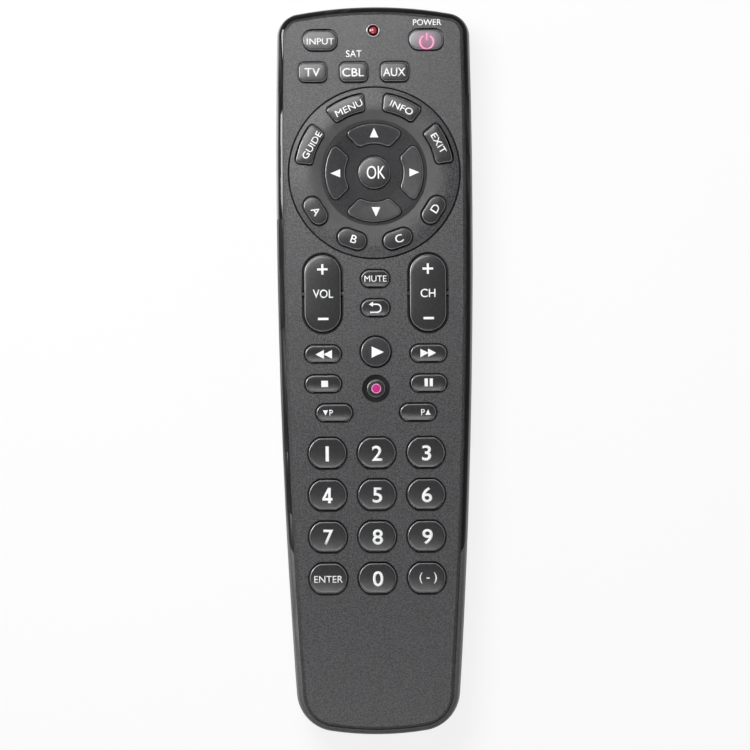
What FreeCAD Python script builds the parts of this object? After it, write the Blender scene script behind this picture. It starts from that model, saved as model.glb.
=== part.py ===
import FreeCAD, Part
import os
import re
from math import atan2, cos, pi, radians, sin, sqrt
from FreeCAD import Placement, Rotation, Vector

# A handset lies on its back: X across, Y towards the head, Z out of the key face.
# The origin is under its middle, on the plane that it rests on.
doc = FreeCAD.newDocument("remote_control")
sheet = doc.addObject("Spreadsheet::Sheet", "sizes")

SIZES = {
    # outline of the handset, seen from the key side
    "head_y": 108.0,
    "side_radius": 2200.0,
    "head_radius": 128.0,
    "tail_radius": 90.0,
    "head_corner": 7.0,
    "tail_corner": 12.0,
    # section of the sides
    "widest_z": 14.0,
    "upper_bulge": 60.0,
    "shoulder_radius": 2.0,
    "lower_bulge": 34.0,
    "heel_z": 6.0,
    "heel_width": 4.6,
    "hollow_heel_width": 2.2,
    "wall": 3.0,
    "floor_thickness": 2.6,
    # hollow under the back for the fingers
    "arch_below_pad": 24.0,
    "arch_radius": 252.5,
    "arch_depth": 5.0,
    # face plate
    "plate_thickness": 2.0,
    "plate_proud": 1.0,
    "plate_inset": 2.35,
    "parting_gap": 0.3,
    "plate_bevel": 0.7,
    "lip_inset": 5.0,
    "lip_width": 1.2,
    "lip_depth": 2.2,
    "lip_clearance": 1.0,
    # gloss band round the head and the sides
    "band_thickness": 1.2,
    "band_low_z": 9.0,
    "band_sweep_below_pad": 44.0,
    "band_end_from_tail": 28.0,
    "ir_window_width": 24.0,
    "ir_window_below": 5.2,
    "ir_window_above": 3.8,
    # keys, how they stand and move
    "key_rise": 1.3,
    "key_gap": 0.3,
    "key_draft": 5.0,
    "key_travel": 1.0,
    "flange_thickness": 0.8,
    "flange_reach": 0.8,
    # keys at the head, and what lies between them and the sides
    "top_key_x": 15.63,
    "top_key_from_head": 10.6,
    "top_key_width": 10.6,
    "top_key_height": 6.4,
    "top_key_corner": 3.0,
    "top_key_margin": 8.22,
    "device_left_x": 17.9,
    "device_column_gap": 3.27,
    "device_row_gap": 3.1,
    "device_width": 8.8,
    "device_height": 6.15,
    "device_corner": 2.0,
    "device_margin": 6.85,
    # round pad with its keys
    "nav_row_gap": 1.55,
    "nav_radius": 25.05,
    "nav_margin": 4.1,
    "nav_groove": 0.5,
    "nav_groove_depth": 1.0,
    "nav_crown": 0.45,
    "dish_radius": 15.63,
    "dish_depth": 0.7,
    "ok_radius": 4.97,
    "arrow_inner": 8.62,
    "arrow_outer": 14.46,
    "arrow_split": 2.17,
    "arrow_corner": 1.4,
    "arrow_slope": 0.9,
    "ok_rise": 0.7,
    "arrow_flange_width": 12.0,
    "ring_inner": 18.1,
    "ring_outer": 23.65,
    "ring_corner": 1.3,
    "ring_flange_back": 0.5,
    "menu_angle": 22.5,
    "menu_half_angle": 15.3,
    "guide_angle": 67.0,
    "guide_half_angle": 16.0,
    "letter_radius": 20.67,
    "letter_width": 9.15,
    "letter_height": 5.6,
    "letter_near_angle": 161.0,
    "letter_far_angle": 122.6,
    # keys below the pad
    "mute_row_gap": 3.5,
    "rocker_x": 15.53,
    "rocker_below_mute": 4.25,
    "rocker_width": 11.4,
    "rocker_length": 23.3,
    "rocker_trunnion": 1.1,
    "rocker_flange_drop": 1.0,
    "rocker_pad_y": 7.0,
    "rocker_gap": 0.45,
    "return_row_gap": 3.24,
    "centre_key_width": 8.75,
    "centre_key_height": 5.36,
    "play_row_gap": 5.65,
    "play_radius": 4.6,
    "record_row_gap": 2.13,
    "record_radius": 2.85,
    "record_rise": 0.1,
    "well_radius": 4.1,
    "well_depth": 0.9,
    "slim_key_width": 11.0,
    "slim_key_height": 5.4,
    "slim_key_x": 15.53,
    "rewind_row_gap": 3.48,
    "stop_row_gap": 3.4,
    "page_x": 12.36,
    "page_row_gap": 3.15,
    "digit_first_gap": 4.52,
    "digit_column_gap": 3.0,
    "digit_row_gap": 2.92,
    "digit_width": 11.5,
    "digit_height": 9.4,
    "digit_corner": 1.6,
    "digit_side_bulge": 0.3,
    "digit_margin": 8.9,
    "tail_margin": 42.11,
    "widest_below_pad": 8.0,
    # board, mat and what is on them
    "board_thickness": 1.6,
    "board_side_reach": 0.2,
    "board_head_reach": 4.6,
    "board_notch_gap": 0.4,
    "board_tail_reach": 8.12,
    "mat_thickness": 0.8,
    "mat_pad_rise": 1.8,
    "mat_indicator_hole": 2.2,
    "pad_width": 4.4,
    "pad_height": 3.6,
    "indicator_from_head": 7.7,
    "indicator_radius": 1.5,
    "indicator_gap": 0.15,
    "indicator_rise": 0.2,
    "indicator_ring": 2.15,
    "indicator_ring_depth": 0.3,
    "emitter_x": 5.0,
    "emitter_from_head": 12.4,
    "emitter_drop": 2.8,
    "emitter_radius": 2.5,
    "emitter_length": 5.5,
    "lead_width": 0.5,
    "nose_share": 0.6,
    "window_hole_margin": 1.0,
    "window_hole_below": 3.7,
    "window_hole_above": 3.2,
    # screws and their posts
    "head_post_inset": 7.15,
    "head_post_gap": 3.125,
    "post_key_gap": 0.2,
    "tail_post_below_page": 0.55,
    "post_radius": 2.0,
    "post_foot_z": 9.0,
    "screw_radius": 1.2,
    "screw_gap": 0.05,
    "screw_length": 11.0,
    "screw_head_radius": 2.6,
    "screw_head_thickness": 1.9,
    "screw_seat_z": 6.0,
    "screw_well_gap": 0.4,
    "screw_tower_side": 4.2,
    "screw_tower_reach": 6.0,
    # cells, their bay and its sliding cover
    "cell_radius": 7.1,
    "cell_length": 49.2,
    "cell_nub_radius": 2.7,
    "cell_nub_length": 1.3,
    "cell_split": 0.5,
    "cell_gap": 0.3,
    "bay_from_tail": 16.0,
    "bay_side_gap": 0.9,
    "bay_wall": 1.1,
    "rib_height": 1.5,
    "leaf_reach": 5.6,
    "contact_thickness": 0.4,
    "contact_width": 8.0,
    "contact_height": 9.0,
    "door_side_overlap": 2.4,
    "door_head_overlap": 5.5,
    "door_margin": 10.15,
    "door_thickness": 1.6,
    "door_gap": 0.15,
    "door_tongue": 1.0,
    "door_tongue_thickness": 0.8,
    "grip_count": 6,
    "grip_from_door_head": 8.0,
    "grip_pitch": 2.2,
    "grip_width": 14.0,
    "grip_depth": 0.4,
    "grip_line": 0.9,
    # small things under the board
    "chip_width": 10.0,
    "chip_height": 1.4,
    "chip_below_pad": 37.0,
    "oscillator_width": 7.5,
    "oscillator_depth": 2.6,
    "oscillator_height": 3.4,
    "oscillator_below_pad": 53.0,
    "capacitor_radius": 2.5,
    "capacitor_length": 9.0,
    "capacitor_x": 12.0,
    "capacitor_below_pad": 45.0,
    # ribs and stands that carry the board
    "rib_width": 1.2,
    "rib_tail_reach": 4.0,
    "rib_head_reach": 4.5,
    "stand_x": 14.0,
    "stand_length": 8.0,
}


# the rows of keys follow each other down the face from the head, and the case closes round them
def add_rows(s):
    s["top_key_y"] = s["head_y"] - s["top_key_from_head"]
    s["device_y"] = s["top_key_y"] - (s["top_key_height"] + s["device_height"]) / 2 - s["device_row_gap"]
    s["device_pitch"] = s["device_width"] + s["device_column_gap"]
    s["nav_y"] = s["device_y"] - s["device_height"] / 2 - s["nav_row_gap"] - s["nav_radius"]
    s["mute_y"] = s["nav_y"] - s["nav_radius"] - s["mute_row_gap"] - s["centre_key_height"] / 2
    s["return_y"] = s["mute_y"] - s["centre_key_height"] - s["return_row_gap"]
    s["play_y"] = s["return_y"] - s["centre_key_height"] / 2 - s["play_row_gap"] - s["play_radius"]
    s["record_y"] = s["play_y"] - s["play_radius"] - s["record_row_gap"] - s["well_radius"]
    s["rocker_y"] = s["mute_y"] - s["rocker_below_mute"]
    s["rewind_y"] = s["rocker_y"] - (s["rocker_length"] + s["slim_key_height"]) / 2 - s["rewind_row_gap"]
    s["stop_y"] = s["rewind_y"] - s["slim_key_height"] - s["stop_row_gap"]
    s["page_y"] = s["stop_y"] - s["slim_key_height"] - s["page_row_gap"]
    s["digit_first_y"] = s["page_y"] - (s["slim_key_height"] + s["digit_height"]) / 2 - s["digit_first_gap"]
    s["digit_pitch_x"] = s["digit_width"] + s["digit_column_gap"]
    s["digit_pitch_y"] = s["digit_height"] + s["digit_row_gap"]
    s["digit_last_y"] = s["digit_first_y"] - 3 * s["digit_pitch_y"]
    s["tail_y"] = s["digit_last_y"] - s["digit_height"] / 2 - s["tail_margin"]


# the cells stand on their cover, the board on the bay and the plate on the mat's pads
def add_layers(s):
    s["cell_x"] = s["cell_radius"] + s["cell_split"]
    s["cell_z"] = s["door_thickness"] + s["cell_gap"] + s["cell_radius"]
    s["contact_low_z"] = s["cell_z"] - s["contact_height"] / 2
    s["bay_half_width"] = s["cell_x"] + s["cell_radius"] + s["bay_side_gap"]
    s["bay_ceiling_z"] = s["cell_z"] + s["cell_radius"] + s["cell_gap"]
    s["bay_tail_y"] = s["tail_y"] + s["bay_from_tail"]
    s["bay_length"] = s["cell_length"] + s["cell_nub_length"] + s["contact_thickness"] + s["leaf_reach"]
    s["bay_head_y"] = s["bay_tail_y"] + s["bay_length"]
    s["door_half_width"] = s["bay_half_width"] + s["door_side_overlap"]
    s["door_head_y"] = s["bay_head_y"] + s["door_head_overlap"]
    s["grip_first_y"] = s["door_head_y"] - s["grip_from_door_head"]
    s["board_bottom"] = s["bay_ceiling_z"] + s["bay_wall"] + s["rib_height"]
    s["board_top"] = s["board_bottom"] + s["board_thickness"]
    s["flange_low"] = s["board_top"] + s["mat_thickness"] + s["mat_pad_rise"]
    s["plate_under"] = s["flange_low"] + s["flange_thickness"]
    s["plate_top"] = s["plate_under"] + s["plate_thickness"]
    s["rim_z"] = s["plate_top"] - s["plate_proud"]
    s["emitter_z"] = s["board_bottom"] - s["emitter_drop"]
    s["ir_window_low_z"] = s["emitter_z"] - s["ir_window_below"]
    s["ir_window_high_z"] = s["emitter_z"] + s["ir_window_above"]
    s["window_hole_low_z"] = s["emitter_z"] - s["window_hole_below"]
    s["window_hole_high_z"] = s["emitter_z"] + s["window_hole_above"]


# the case is as wide as its widest row and that row's margin ask for
def add_case(s):
    digit_reach = s["digit_pitch_x"] + s["digit_width"] / 2
    s["half_width"] = max(
        s["nav_radius"] + s["nav_margin"],
        digit_reach + s["digit_margin"],
        s["top_key_x"] + s["top_key_width"] / 2 + s["top_key_margin"],
        s["device_left_x"] + s["device_width"] / 2 + s["device_margin"],
        s["door_half_width"] + s["door_tongue"] + s["door_margin"],
    )
    s["widest_y"] = s["nav_y"] - s["widest_below_pad"]
    s["arch_y"] = s["nav_y"] - s["arch_below_pad"]
    s["band_sweep_start_y"] = s["nav_y"] - s["band_sweep_below_pad"]
    s["band_end_y"] = s["tail_y"] + s["band_end_from_tail"]
    s["board_half_width"] = digit_reach + s["flange_reach"] + s["board_side_reach"]
    s["board_head_y"] = s["top_key_y"] + s["board_head_reach"]
    s["board_tail_y"] = s["digit_last_y"] - s["board_tail_reach"]
    s["rib_tail_y"] = s["board_tail_y"] + s["rib_tail_reach"]
    s["rib_head_y"] = s["bay_head_y"] - s["rib_head_reach"]
    s["stand_y"] = s["nav_y"]
    s["indicator_y"] = s["head_y"] - s["indicator_from_head"]
    s["emitter_back_y"] = s["head_y"] - s["emitter_from_head"]
    s["head_post_x"] = s["half_width"] - s["head_post_inset"]
    under_device = s["device_y"] - s["device_height"] / 2 - s["flange_reach"]
    s["head_post_y"] = under_device - s["head_post_gap"] - s["post_radius"]
    beside_page = s["page_x"] + s["slim_key_width"] / 2 + s["flange_reach"]
    s["tail_post_x"] = beside_page + s["post_key_gap"] + s["post_radius"]
    s["tail_post_y"] = s["page_y"] - s["tail_post_below_page"]
    s["screw_well_radius"] = s["screw_head_radius"] + s["screw_well_gap"]
    s["chip_y"] = s["nav_y"] - s["chip_below_pad"]
    s["oscillator_y"] = s["nav_y"] - s["oscillator_below_pad"]
    s["capacitor_y"] = s["nav_y"] - s["capacitor_below_pad"]


for add_places in (add_rows, add_layers, add_case):
    add_places(SIZES)


def fill_sheet():
    for row, (name, value) in enumerate(SIZES.items(), 1):
        sheet.set("A%d" % row, name)
        sheet.set("B%d" % row, "%.6g" % value)
        sheet.setAlias("B%d" % row, name)
    doc.recompute()


fill_sheet()


def size(name):
    return float(sheet.get(name))


# a formula is plain text that uses the names in the sheet
def formula(text):
    return re.sub(r"[a-z_]+", lambda word: "sizes." + word.group() if word.group() in SIZES else word.group(), text)


def bind(item, prop, text):
    item.setExpression(prop, formula(text))


def origin_plane(body, role):
    return [feature for feature in body.Origin.OriginFeatures if feature.Role == role][0]


# a closed outline, joined end to end, on one of the body's own planes
def sketch_on(body, name, edges, plane="XY_Plane", height="0", shift=""):
    sketch = body.newObject("Sketcher::SketchObject", name)
    sketch.AttachmentSupport = [(origin_plane(body, plane), "")]
    sketch.MapMode = "FlatFace"
    bind(sketch, "AttachmentOffset.Base.z", height)
    if shift:
        bind(sketch, "AttachmentOffset.Base.x", shift)
    for edge in edges:
        sketch.addGeometry(edge, False)
    return sketch


def new_body(name):
    body = doc.addObject("PartDesign::Body", name)
    body.Label = name
    return body


def pad(body, sketch, length, name="pad"):
    feature = body.newObject("PartDesign::Pad", name)
    feature.Profile = sketch
    bind(feature, "Length", length)
    return feature


def rectangle(left, right, low, high):
    corners = [Vector(left, low, 0), Vector(right, low, 0), Vector(right, high, 0), Vector(left, high, 0)]
    return [Part.LineSegment(start, end) for start, end in zip(corners, corners[1:] + corners[:1])]


def pocket(body, sketch, depth, name):
    feature = body.newObject("PartDesign::Pocket", name)
    feature.Profile = sketch
    bind(feature, "Length", depth)
    return feature


def pocket_through(body, sketch, name="pocket"):
    feature = body.newObject("PartDesign::Pocket", name)
    feature.Profile = sketch
    feature.Type = "ThroughAll"
    feature.Midplane = True
    return feature


def block(name, corner, lengths):
    item = doc.addObject("Part::Box", name)
    for prop, text in zip(("Length", "Width", "Height"), lengths):
        bind(item, prop, text)
    for prop, text in zip("xyz", corner):
        bind(item, "Placement.Base." + prop, text)
    return item


def rod(name, start, radius, length, axis=Vector(0, 0, 1)):
    item = doc.addObject("Part::Cylinder", name)
    item.Placement = Placement(Vector(), Rotation(Vector(0, 0, 1), axis))
    bind(item, "Radius", radius)
    bind(item, "Height", length)
    for prop, text in zip("xyz", start):
        bind(item, "Placement.Base." + prop, text)
    return item


def cut(name, base, tool):
    item = doc.addObject("Part::Cut", name)
    item.Base = base
    item.Tool = tool
    return item


def fuse(name, items):
    item = doc.addObject("Part::MultiFuse", name)
    item.Shapes = items
    return item


def common(name, base, tool):
    item = doc.addObject("Part::Common", name)
    item.Base = base
    item.Tool = tool
    return item


def on_circle(centre, radius, angle):
    return Vector(centre.x + radius * cos(angle), centre.y + radius * sin(angle), 0)


def heading(start, end):
    return atan2(end.y - start.y, end.x - start.x)


# where two circles meet, on the right hand side of the line between their centres
def circles_meet(first, first_radius, second, second_radius, side):
    span = second - first
    along = (first_radius ** 2 - second_radius ** 2 + span.Length ** 2) / (2 * span.Length)
    across = sqrt(first_radius ** 2 - along ** 2)
    direction = span.normalize()
    return first + direction * along + Vector(direction.y, -direction.x, 0) * across * side


# the eight tangent arcs of the handset's outline, all moved inwards by one inset
def handset_outline(inset):
    side, head, tail = (size(name) - inset for name in ("side_radius", "head_radius", "tail_radius"))
    head_corner, tail_corner = size("head_corner") - inset, size("tail_corner") - inset
    side_centre = Vector(size("half_width") - size("side_radius"), size("widest_y"), 0)
    head_centre = Vector(0, size("head_y") - size("head_radius"), 0)
    tail_centre = Vector(0, size("tail_y") + size("tail_radius"), 0)
    upper = circles_meet(side_centre, side - head_corner, head_centre, head - head_corner, -1)
    lower = circles_meet(side_centre, side - tail_corner, tail_centre, tail - tail_corner, 1)
    if upper.y < side_centre.y:
        upper = circles_meet(side_centre, side - head_corner, head_centre, head - head_corner, 1)
    if lower.y > side_centre.y:
        lower = circles_meet(side_centre, side - tail_corner, tail_centre, tail - tail_corner, -1)
    joints = [
        on_circle(head_centre, head, heading(head_centre, upper)),
        on_circle(side_centre, side, heading(side_centre, upper)),
        on_circle(side_centre, side, heading(side_centre, lower)),
        on_circle(tail_centre, tail, heading(tail_centre, lower)),
    ]
    middles = [
        on_circle(upper, head_corner, heading(upper, (joints[0] + joints[1]) * 0.5)),
        on_circle(side_centre, side, heading(side_centre, (joints[1] + joints[2]) * 0.5)),
        on_circle(lower, tail_corner, heading(lower, (joints[2] + joints[3]) * 0.5)),
    ]
    right = list(zip(joints, middles, joints[1:]))
    left = [tuple(Vector(-point.x, point.y, 0) for point in reversed(arc)) for arc in reversed(right)]
    head_arc = (left[-1][2], Vector(0, size("head_y") - inset, 0), right[0][0])
    tail_arc = (right[-1][2], Vector(0, size("tail_y") + inset, 0), left[0][0])
    return [Part.Arc(*arc) for arc in [*right, tail_arc, *left, head_arc]]


# how far the bulging side has drawn in at a height above its widest line
def drawn_in(height, radius):
    return radius - sqrt(radius ** 2 - height ** 2)


# a solid inside the handset's outer form: the outline's prism, with its sides swept to their section
def handset_block(name, inset, low_z, high_z, heel_width, shoulder=0.0):
    body = new_body(name)
    plan = sketch_on(body, name + "_plan", handset_outline(inset), height=low_z[0])
    pad(body, plan, "%s - (%s)" % (high_z[0], low_z[0]), name + "_prism")
    widest, heel = size("widest_z"), size("heel_z")
    upper, lower = size("upper_bulge") - inset, size("lower_bulge") - inset
    edge = size("head_y") - inset

    def spot(drawn, height):
        return Vector(edge - drawn, height, 0)

    roll = high_z[1] - shoulder - widest
    roll_drawn = upper - sqrt((upper - shoulder) ** 2 - roll ** 2)
    roll_angle = atan2(roll, upper - roll_drawn)
    top = spot(roll_drawn, high_z[1])
    brow = spot(drawn_in(upper * sin(roll_angle), upper), widest + upper * sin(roll_angle))
    roll_middle = spot(roll_drawn, high_z[1] - shoulder)
    roll_middle += Vector(cos((roll_angle + pi / 2) / 2), sin((roll_angle + pi / 2) / 2), 0) * shoulder
    upper_middle = spot(drawn_in(upper * sin(roll_angle / 2), upper), widest + upper * sin(roll_angle / 2))
    side = spot(0, widest)
    lower_middle = spot(drawn_in((widest - heel) / 2, lower), (widest + heel) / 2)
    shin = spot(drawn_in(widest - heel, lower), heel)
    fall = heel - low_z[1]
    round_share = 1 - sqrt(0.5)
    heel_middle = shin + Vector(-heel_width * round_share, -fall * (1 - round_share), 0)
    foot = shin + Vector(-heel_width, -fall, 0)
    outside = edge + size("wall")
    corners = [foot, foot - Vector(0, 1, 0), Vector(outside, foot.y - 1, 0), Vector(outside, top.y + 1, 0)]
    corners += [top + Vector(0, 1, 0), top]
    edges = [Part.Arc(top, roll_middle, brow)] if shoulder else []
    edges += [Part.Arc(brow, upper_middle, side), Part.Arc(side, lower_middle, shin)]
    edges += [Part.Arc(shin, heel_middle, foot)]
    edges += [Part.LineSegment(start, end) for start, end in zip(corners, corners[1:])]
    path = sketch_on(body, name + "_path", handset_outline(inset))
    section = sketch_on(body, name + "_section", edges, plane="YZ_Plane")
    sweep = body.newObject("PartDesign::SubtractivePipe", name + "_sides")
    sweep.Profile = section
    sweep.Spine = path
    return body


def finger_arch(name, extra):
    start = ["-half_width - 10", "arch_y", "arch_depth - arch_radius"]
    return rod(name, start, "arch_radius + " + extra, "2 * half_width + 20", Vector(1, 0, 0))


back = ("0", 0.0)
rim = ("rim_z", size("rim_z"))
inner_floor = ("floor_thickness", size("floor_thickness"))
outer_form = handset_block("outer_form", 0, back, rim, size("heel_width"), size("shoulder_radius"))
hollow_form = handset_block("hollow_form", size("wall"), inner_floor, rim, size("hollow_heel_width"))
band_form = handset_block("band_form", size("band_thickness"), back, rim, size("heel_width"))


# key outlines, each about its own middle, grown outwards by a clearance
def rounded_outline(width, height, corner, grow=0.0):
    x, y, r = width / 2 + grow, height / 2 + grow, corner + grow
    edges = []
    for turn, (half, reach) in enumerate(((x, y), (y, x), (x, y), (y, x))):
        start = Vector(half - r, reach, 0)
        middle = Vector(half - r + r * sin(pi / 4), reach - r + r * cos(pi / 4), 0)
        end = Vector(half, reach - r, 0)
        following = Vector(half, r - reach, 0)
        spin = Rotation(Vector(0, 0, 1), -90 * turn)
        start, middle, end, following = (spin.multVec(point) for point in (start, middle, end, following))
        edges.append(Part.Arc(start, middle, end))
        if (end - following).Length > 0.001:
            edges.append(Part.LineSegment(end, following))
    return edges


# flat above and below, with each side one arc that meets the flats in a small round
def barrel_outline(width, height, corner, bulge, grow=0.0):
    side, half = height / 2 + bulge, height / 2
    side_centre = width / 2 - side
    corner_y = half - corner
    corner_x = side_centre + sqrt((side - corner) ** 2 - corner_y ** 2)
    lean = atan2(corner_y, corner_x - side_centre)
    side, half, corner = side + grow, half + grow, corner + grow

    def corner_arc(right, up):
        points = [Vector(corner_x + corner * cos(turn), corner_y + corner * sin(turn), 0)
                  for turn in (pi / 2, (pi / 2 + lean) / 2, lean)]
        points = [Vector(right * point.x, up * point.y, 0) for point in points]
        return points if right == up else points[::-1]

    def side_arc(right):
        points = [Vector(right * (side_centre + side * cos(turn)), right * side * sin(turn), 0)
                  for turn in (lean, 0, -lean)]
        return Part.Arc(*points)

    corners = [corner_arc(1, 1), corner_arc(1, -1), corner_arc(-1, -1), corner_arc(-1, 1)]
    flats = [(corners[1][2], corners[2][0]), (corners[3][2], corners[0][0])]
    edges = [Part.Arc(*points) for points in corners] + [side_arc(1), side_arc(-1)]
    return edges + [Part.LineSegment(*points) for points in flats]


def round_outline(radius, grow=0.0):
    return [Part.Circle(Vector(), Vector(0, 0, 1), radius + grow)]


# a piece of a ring about the pad's middle, whose two sides lie at an angle and an offset from it
def sector_outline(inner, outer, half_angle, corner, offset=0.0, grow=0.0):
    inner, outer, offset, corner = inner - grow, outer + grow, offset + grow, corner + grow
    along = Vector(sin(half_angle), cos(half_angle), 0)
    away = Vector(cos(half_angle), -sin(half_angle), 0)
    inset = offset - corner
    outer_centre = away * inset + along * sqrt((outer - corner) ** 2 - inset ** 2)
    inner_centre = away * inset + along * sqrt((inner + corner) ** 2 - inset ** 2)
    outer_touch = outer_centre * (outer / outer_centre.Length)
    inner_touch = inner_centre * (inner / inner_centre.Length)
    outer_side, inner_side = outer_centre + away * corner, inner_centre + away * corner
    outer_way = ((outer_touch - outer_centre) + away * corner).normalize() * corner
    inner_way = ((inner_touch - inner_centre) + away * corner).normalize() * corner

    def mirrored(point):
        return Vector(-point.x, point.y, 0)

    right = [(outer_touch, outer_centre + outer_way, outer_side), (outer_side, inner_side)]
    right += [(inner_side, inner_centre + inner_way, inner_touch)]
    left = [tuple(mirrored(point) for point in reversed(points)) for points in reversed(right)]
    loop = [(mirrored(outer_touch), Vector(0, outer, 0), outer_touch), *right]
    loop += [(inner_touch, Vector(0, inner, 0), mirrored(inner_touch)), *left]
    return [Part.Arc(*points) if len(points) == 3 else Part.LineSegment(*points) for points in loop]


def placed(edges, spot):
    moved = []
    for edge in edges:
        copy = edge.copy()
        copy.transform(spot.toMatrix())
        moved.append(copy)
    return moved


def at(x, y, angle=0.0):
    return Placement(Vector(x, y, 0), Rotation(Vector(0, 0, 1), angle))


# every key: its place, a function that draws its outline, its flange's two sizes and middle
def key_list():
    keys = {}

    def add(name, spot, outline, flange, middle=0.0):
        keys[name] = {"spot": spot, "outline": outline, "flange": flange, "middle": middle}

    def rounded(name, x, y, family, angle=0.0, corner=None, one_sided=False):
        width, height = size(family + "_width"), size(family + "_height")
        corner = height / 2 if corner is None else corner
        reach = size("flange_reach")
        sides = 1 if one_sided else 2
        add(name, at(x, y, angle), lambda grow: rounded_outline(width, height, corner, grow),
            (width + 2 * reach, height + sides * reach), (sides / 2 - 1) * reach)

    def sector(name, angle, inner, outer, half_angle, corner, offset, width):
        reach = 2 * size("flange_reach")
        low = inner if offset else inner * cos(half_angle)
        high = outer if offset else outer - size("ring_flange_back") - size("flange_reach")
        add(name, at(0, size("nav_y"), angle),
            lambda grow: sector_outline(inner, outer, half_angle, corner, offset, grow),
            (width, high - low + reach), (high + low) / 2)

    for name, x in (("input_key", -size("top_key_x")), ("power_key", size("top_key_x"))):
        rounded(name, x, size("top_key_y"), "top_key", corner=size("top_key_corner"), one_sided=True)
    for count in range(3):
        x = count * size("device_pitch") - size("device_left_x")
        rounded("device_key_%d" % (count + 1), x, size("device_y"), "device", corner=size("device_corner"))

    for name, angle in (("up_key", 0), ("left_key", 90), ("down_key", 180), ("right_key", 270)):
        sector(name, angle, size("arrow_inner"), size("arrow_outer"), pi / 4, size("arrow_corner"),
               -size("arrow_split"), size("arrow_flange_width"))
    round_reach = 2 * size("flange_reach")
    ok_size = 2 * size("ok_radius") + round_reach
    add("ok_key", at(0, size("nav_y")), lambda grow: round_outline(size("ok_radius"), grow), (ok_size, ok_size))
    for name, family, way in (("menu_key", "menu", 1), ("info_key", "menu", -1),
                              ("guide_key", "guide", 1), ("exit_key", "guide", -1)):
        half_angle = radians(size(family + "_half_angle"))
        width = 2 * size("ring_outer") * sin(half_angle) + size("flange_reach")
        sector(name, way * size(family + "_angle"), size("ring_inner"), size("ring_outer"), half_angle,
               size("ring_corner"), 0.0, width)
    for name, family, way in (("a_key", "far", 1), ("b_key", "near", 1), ("c_key", "near", -1), ("d_key", "far", -1)):
        angle = way * size("letter_%s_angle" % family)
        spot = at(0, size("nav_y"), angle).multiply(at(0, size("letter_radius")))
        rounded(name, spot.Base.x, spot.Base.y, "letter", angle)

    for name, side in (("volume_rocker", -1), ("channel_rocker", 1)):
        width, length = size("rocker_width"), size("rocker_length")
        add(name, at(side * size("rocker_x"), size("rocker_y")),
            lambda grow, width=width, length=length: rounded_outline(width, length, width / 2, grow),
            (width + round_reach, length + round_reach))
    rounded("mute_key", 0, size("mute_y"), "centre_key")
    rounded("return_key", 0, size("return_y"), "centre_key")
    play_size = 2 * size("play_radius") + round_reach
    record_size = 2 * size("record_radius") + round_reach
    add("play_key", at(0, size("play_y")), lambda grow: round_outline(size("play_radius"), grow),
        (play_size, play_size))
    add("record_key", at(0, size("record_y")), lambda grow: round_outline(size("record_radius"), grow),
        (record_size, record_size))
    for name, x, y in (("rewind_key", -size("slim_key_x"), size("rewind_y")),
                       ("forward_key", size("slim_key_x"), size("rewind_y")),
                       ("stop_key", -size("slim_key_x"), size("stop_y")),
                       ("pause_key", size("slim_key_x"), size("stop_y")),
                       ("page_down_key", -size("page_x"), size("page_y")),
                       ("page_up_key", size("page_x"), size("page_y"))):
        rounded(name, x, y, "slim_key")
    names = ["digit_key_%d" % digit for digit in range(1, 10)] + ["enter_key", "digit_key_0", "dash_key"]
    for count, name in enumerate(names):
        x = (count % 3 - 1) * size("digit_pitch_x")
        y = size("digit_first_y") - count // 3 * size("digit_pitch_y")
        width, height = size("digit_width"), size("digit_height")
        add(name, at(x, y), lambda grow, width=width, height=height:
            barrel_outline(width, height, size("digit_corner"), size("digit_side_bulge"), grow),
            (width + round_reach, height + round_reach))
    return keys


keys = key_list()
rockers = ("volume_rocker", "channel_rocker")
arrows = ("up_key", "left_key", "down_key", "right_key")


# the mid-line of the dished pad: full rings about its middle, cut from or added to the face
def nav_ring(body, name, points, cut_away):
    edges = [Part.LineSegment(start, end) for start, end in zip(points, points[1:] + points[:1])]
    sketch = sketch_on(body, name + "_section", edges, plane="YZ_Plane", shift="nav_y")
    feature = body.newObject("PartDesign::Groove" if cut_away else "PartDesign::Revolution", name)
    feature.Profile = sketch
    feature.ReferenceAxis = (sketch, ["V_Axis"])
    feature.Angle = 360
    return feature


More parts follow.
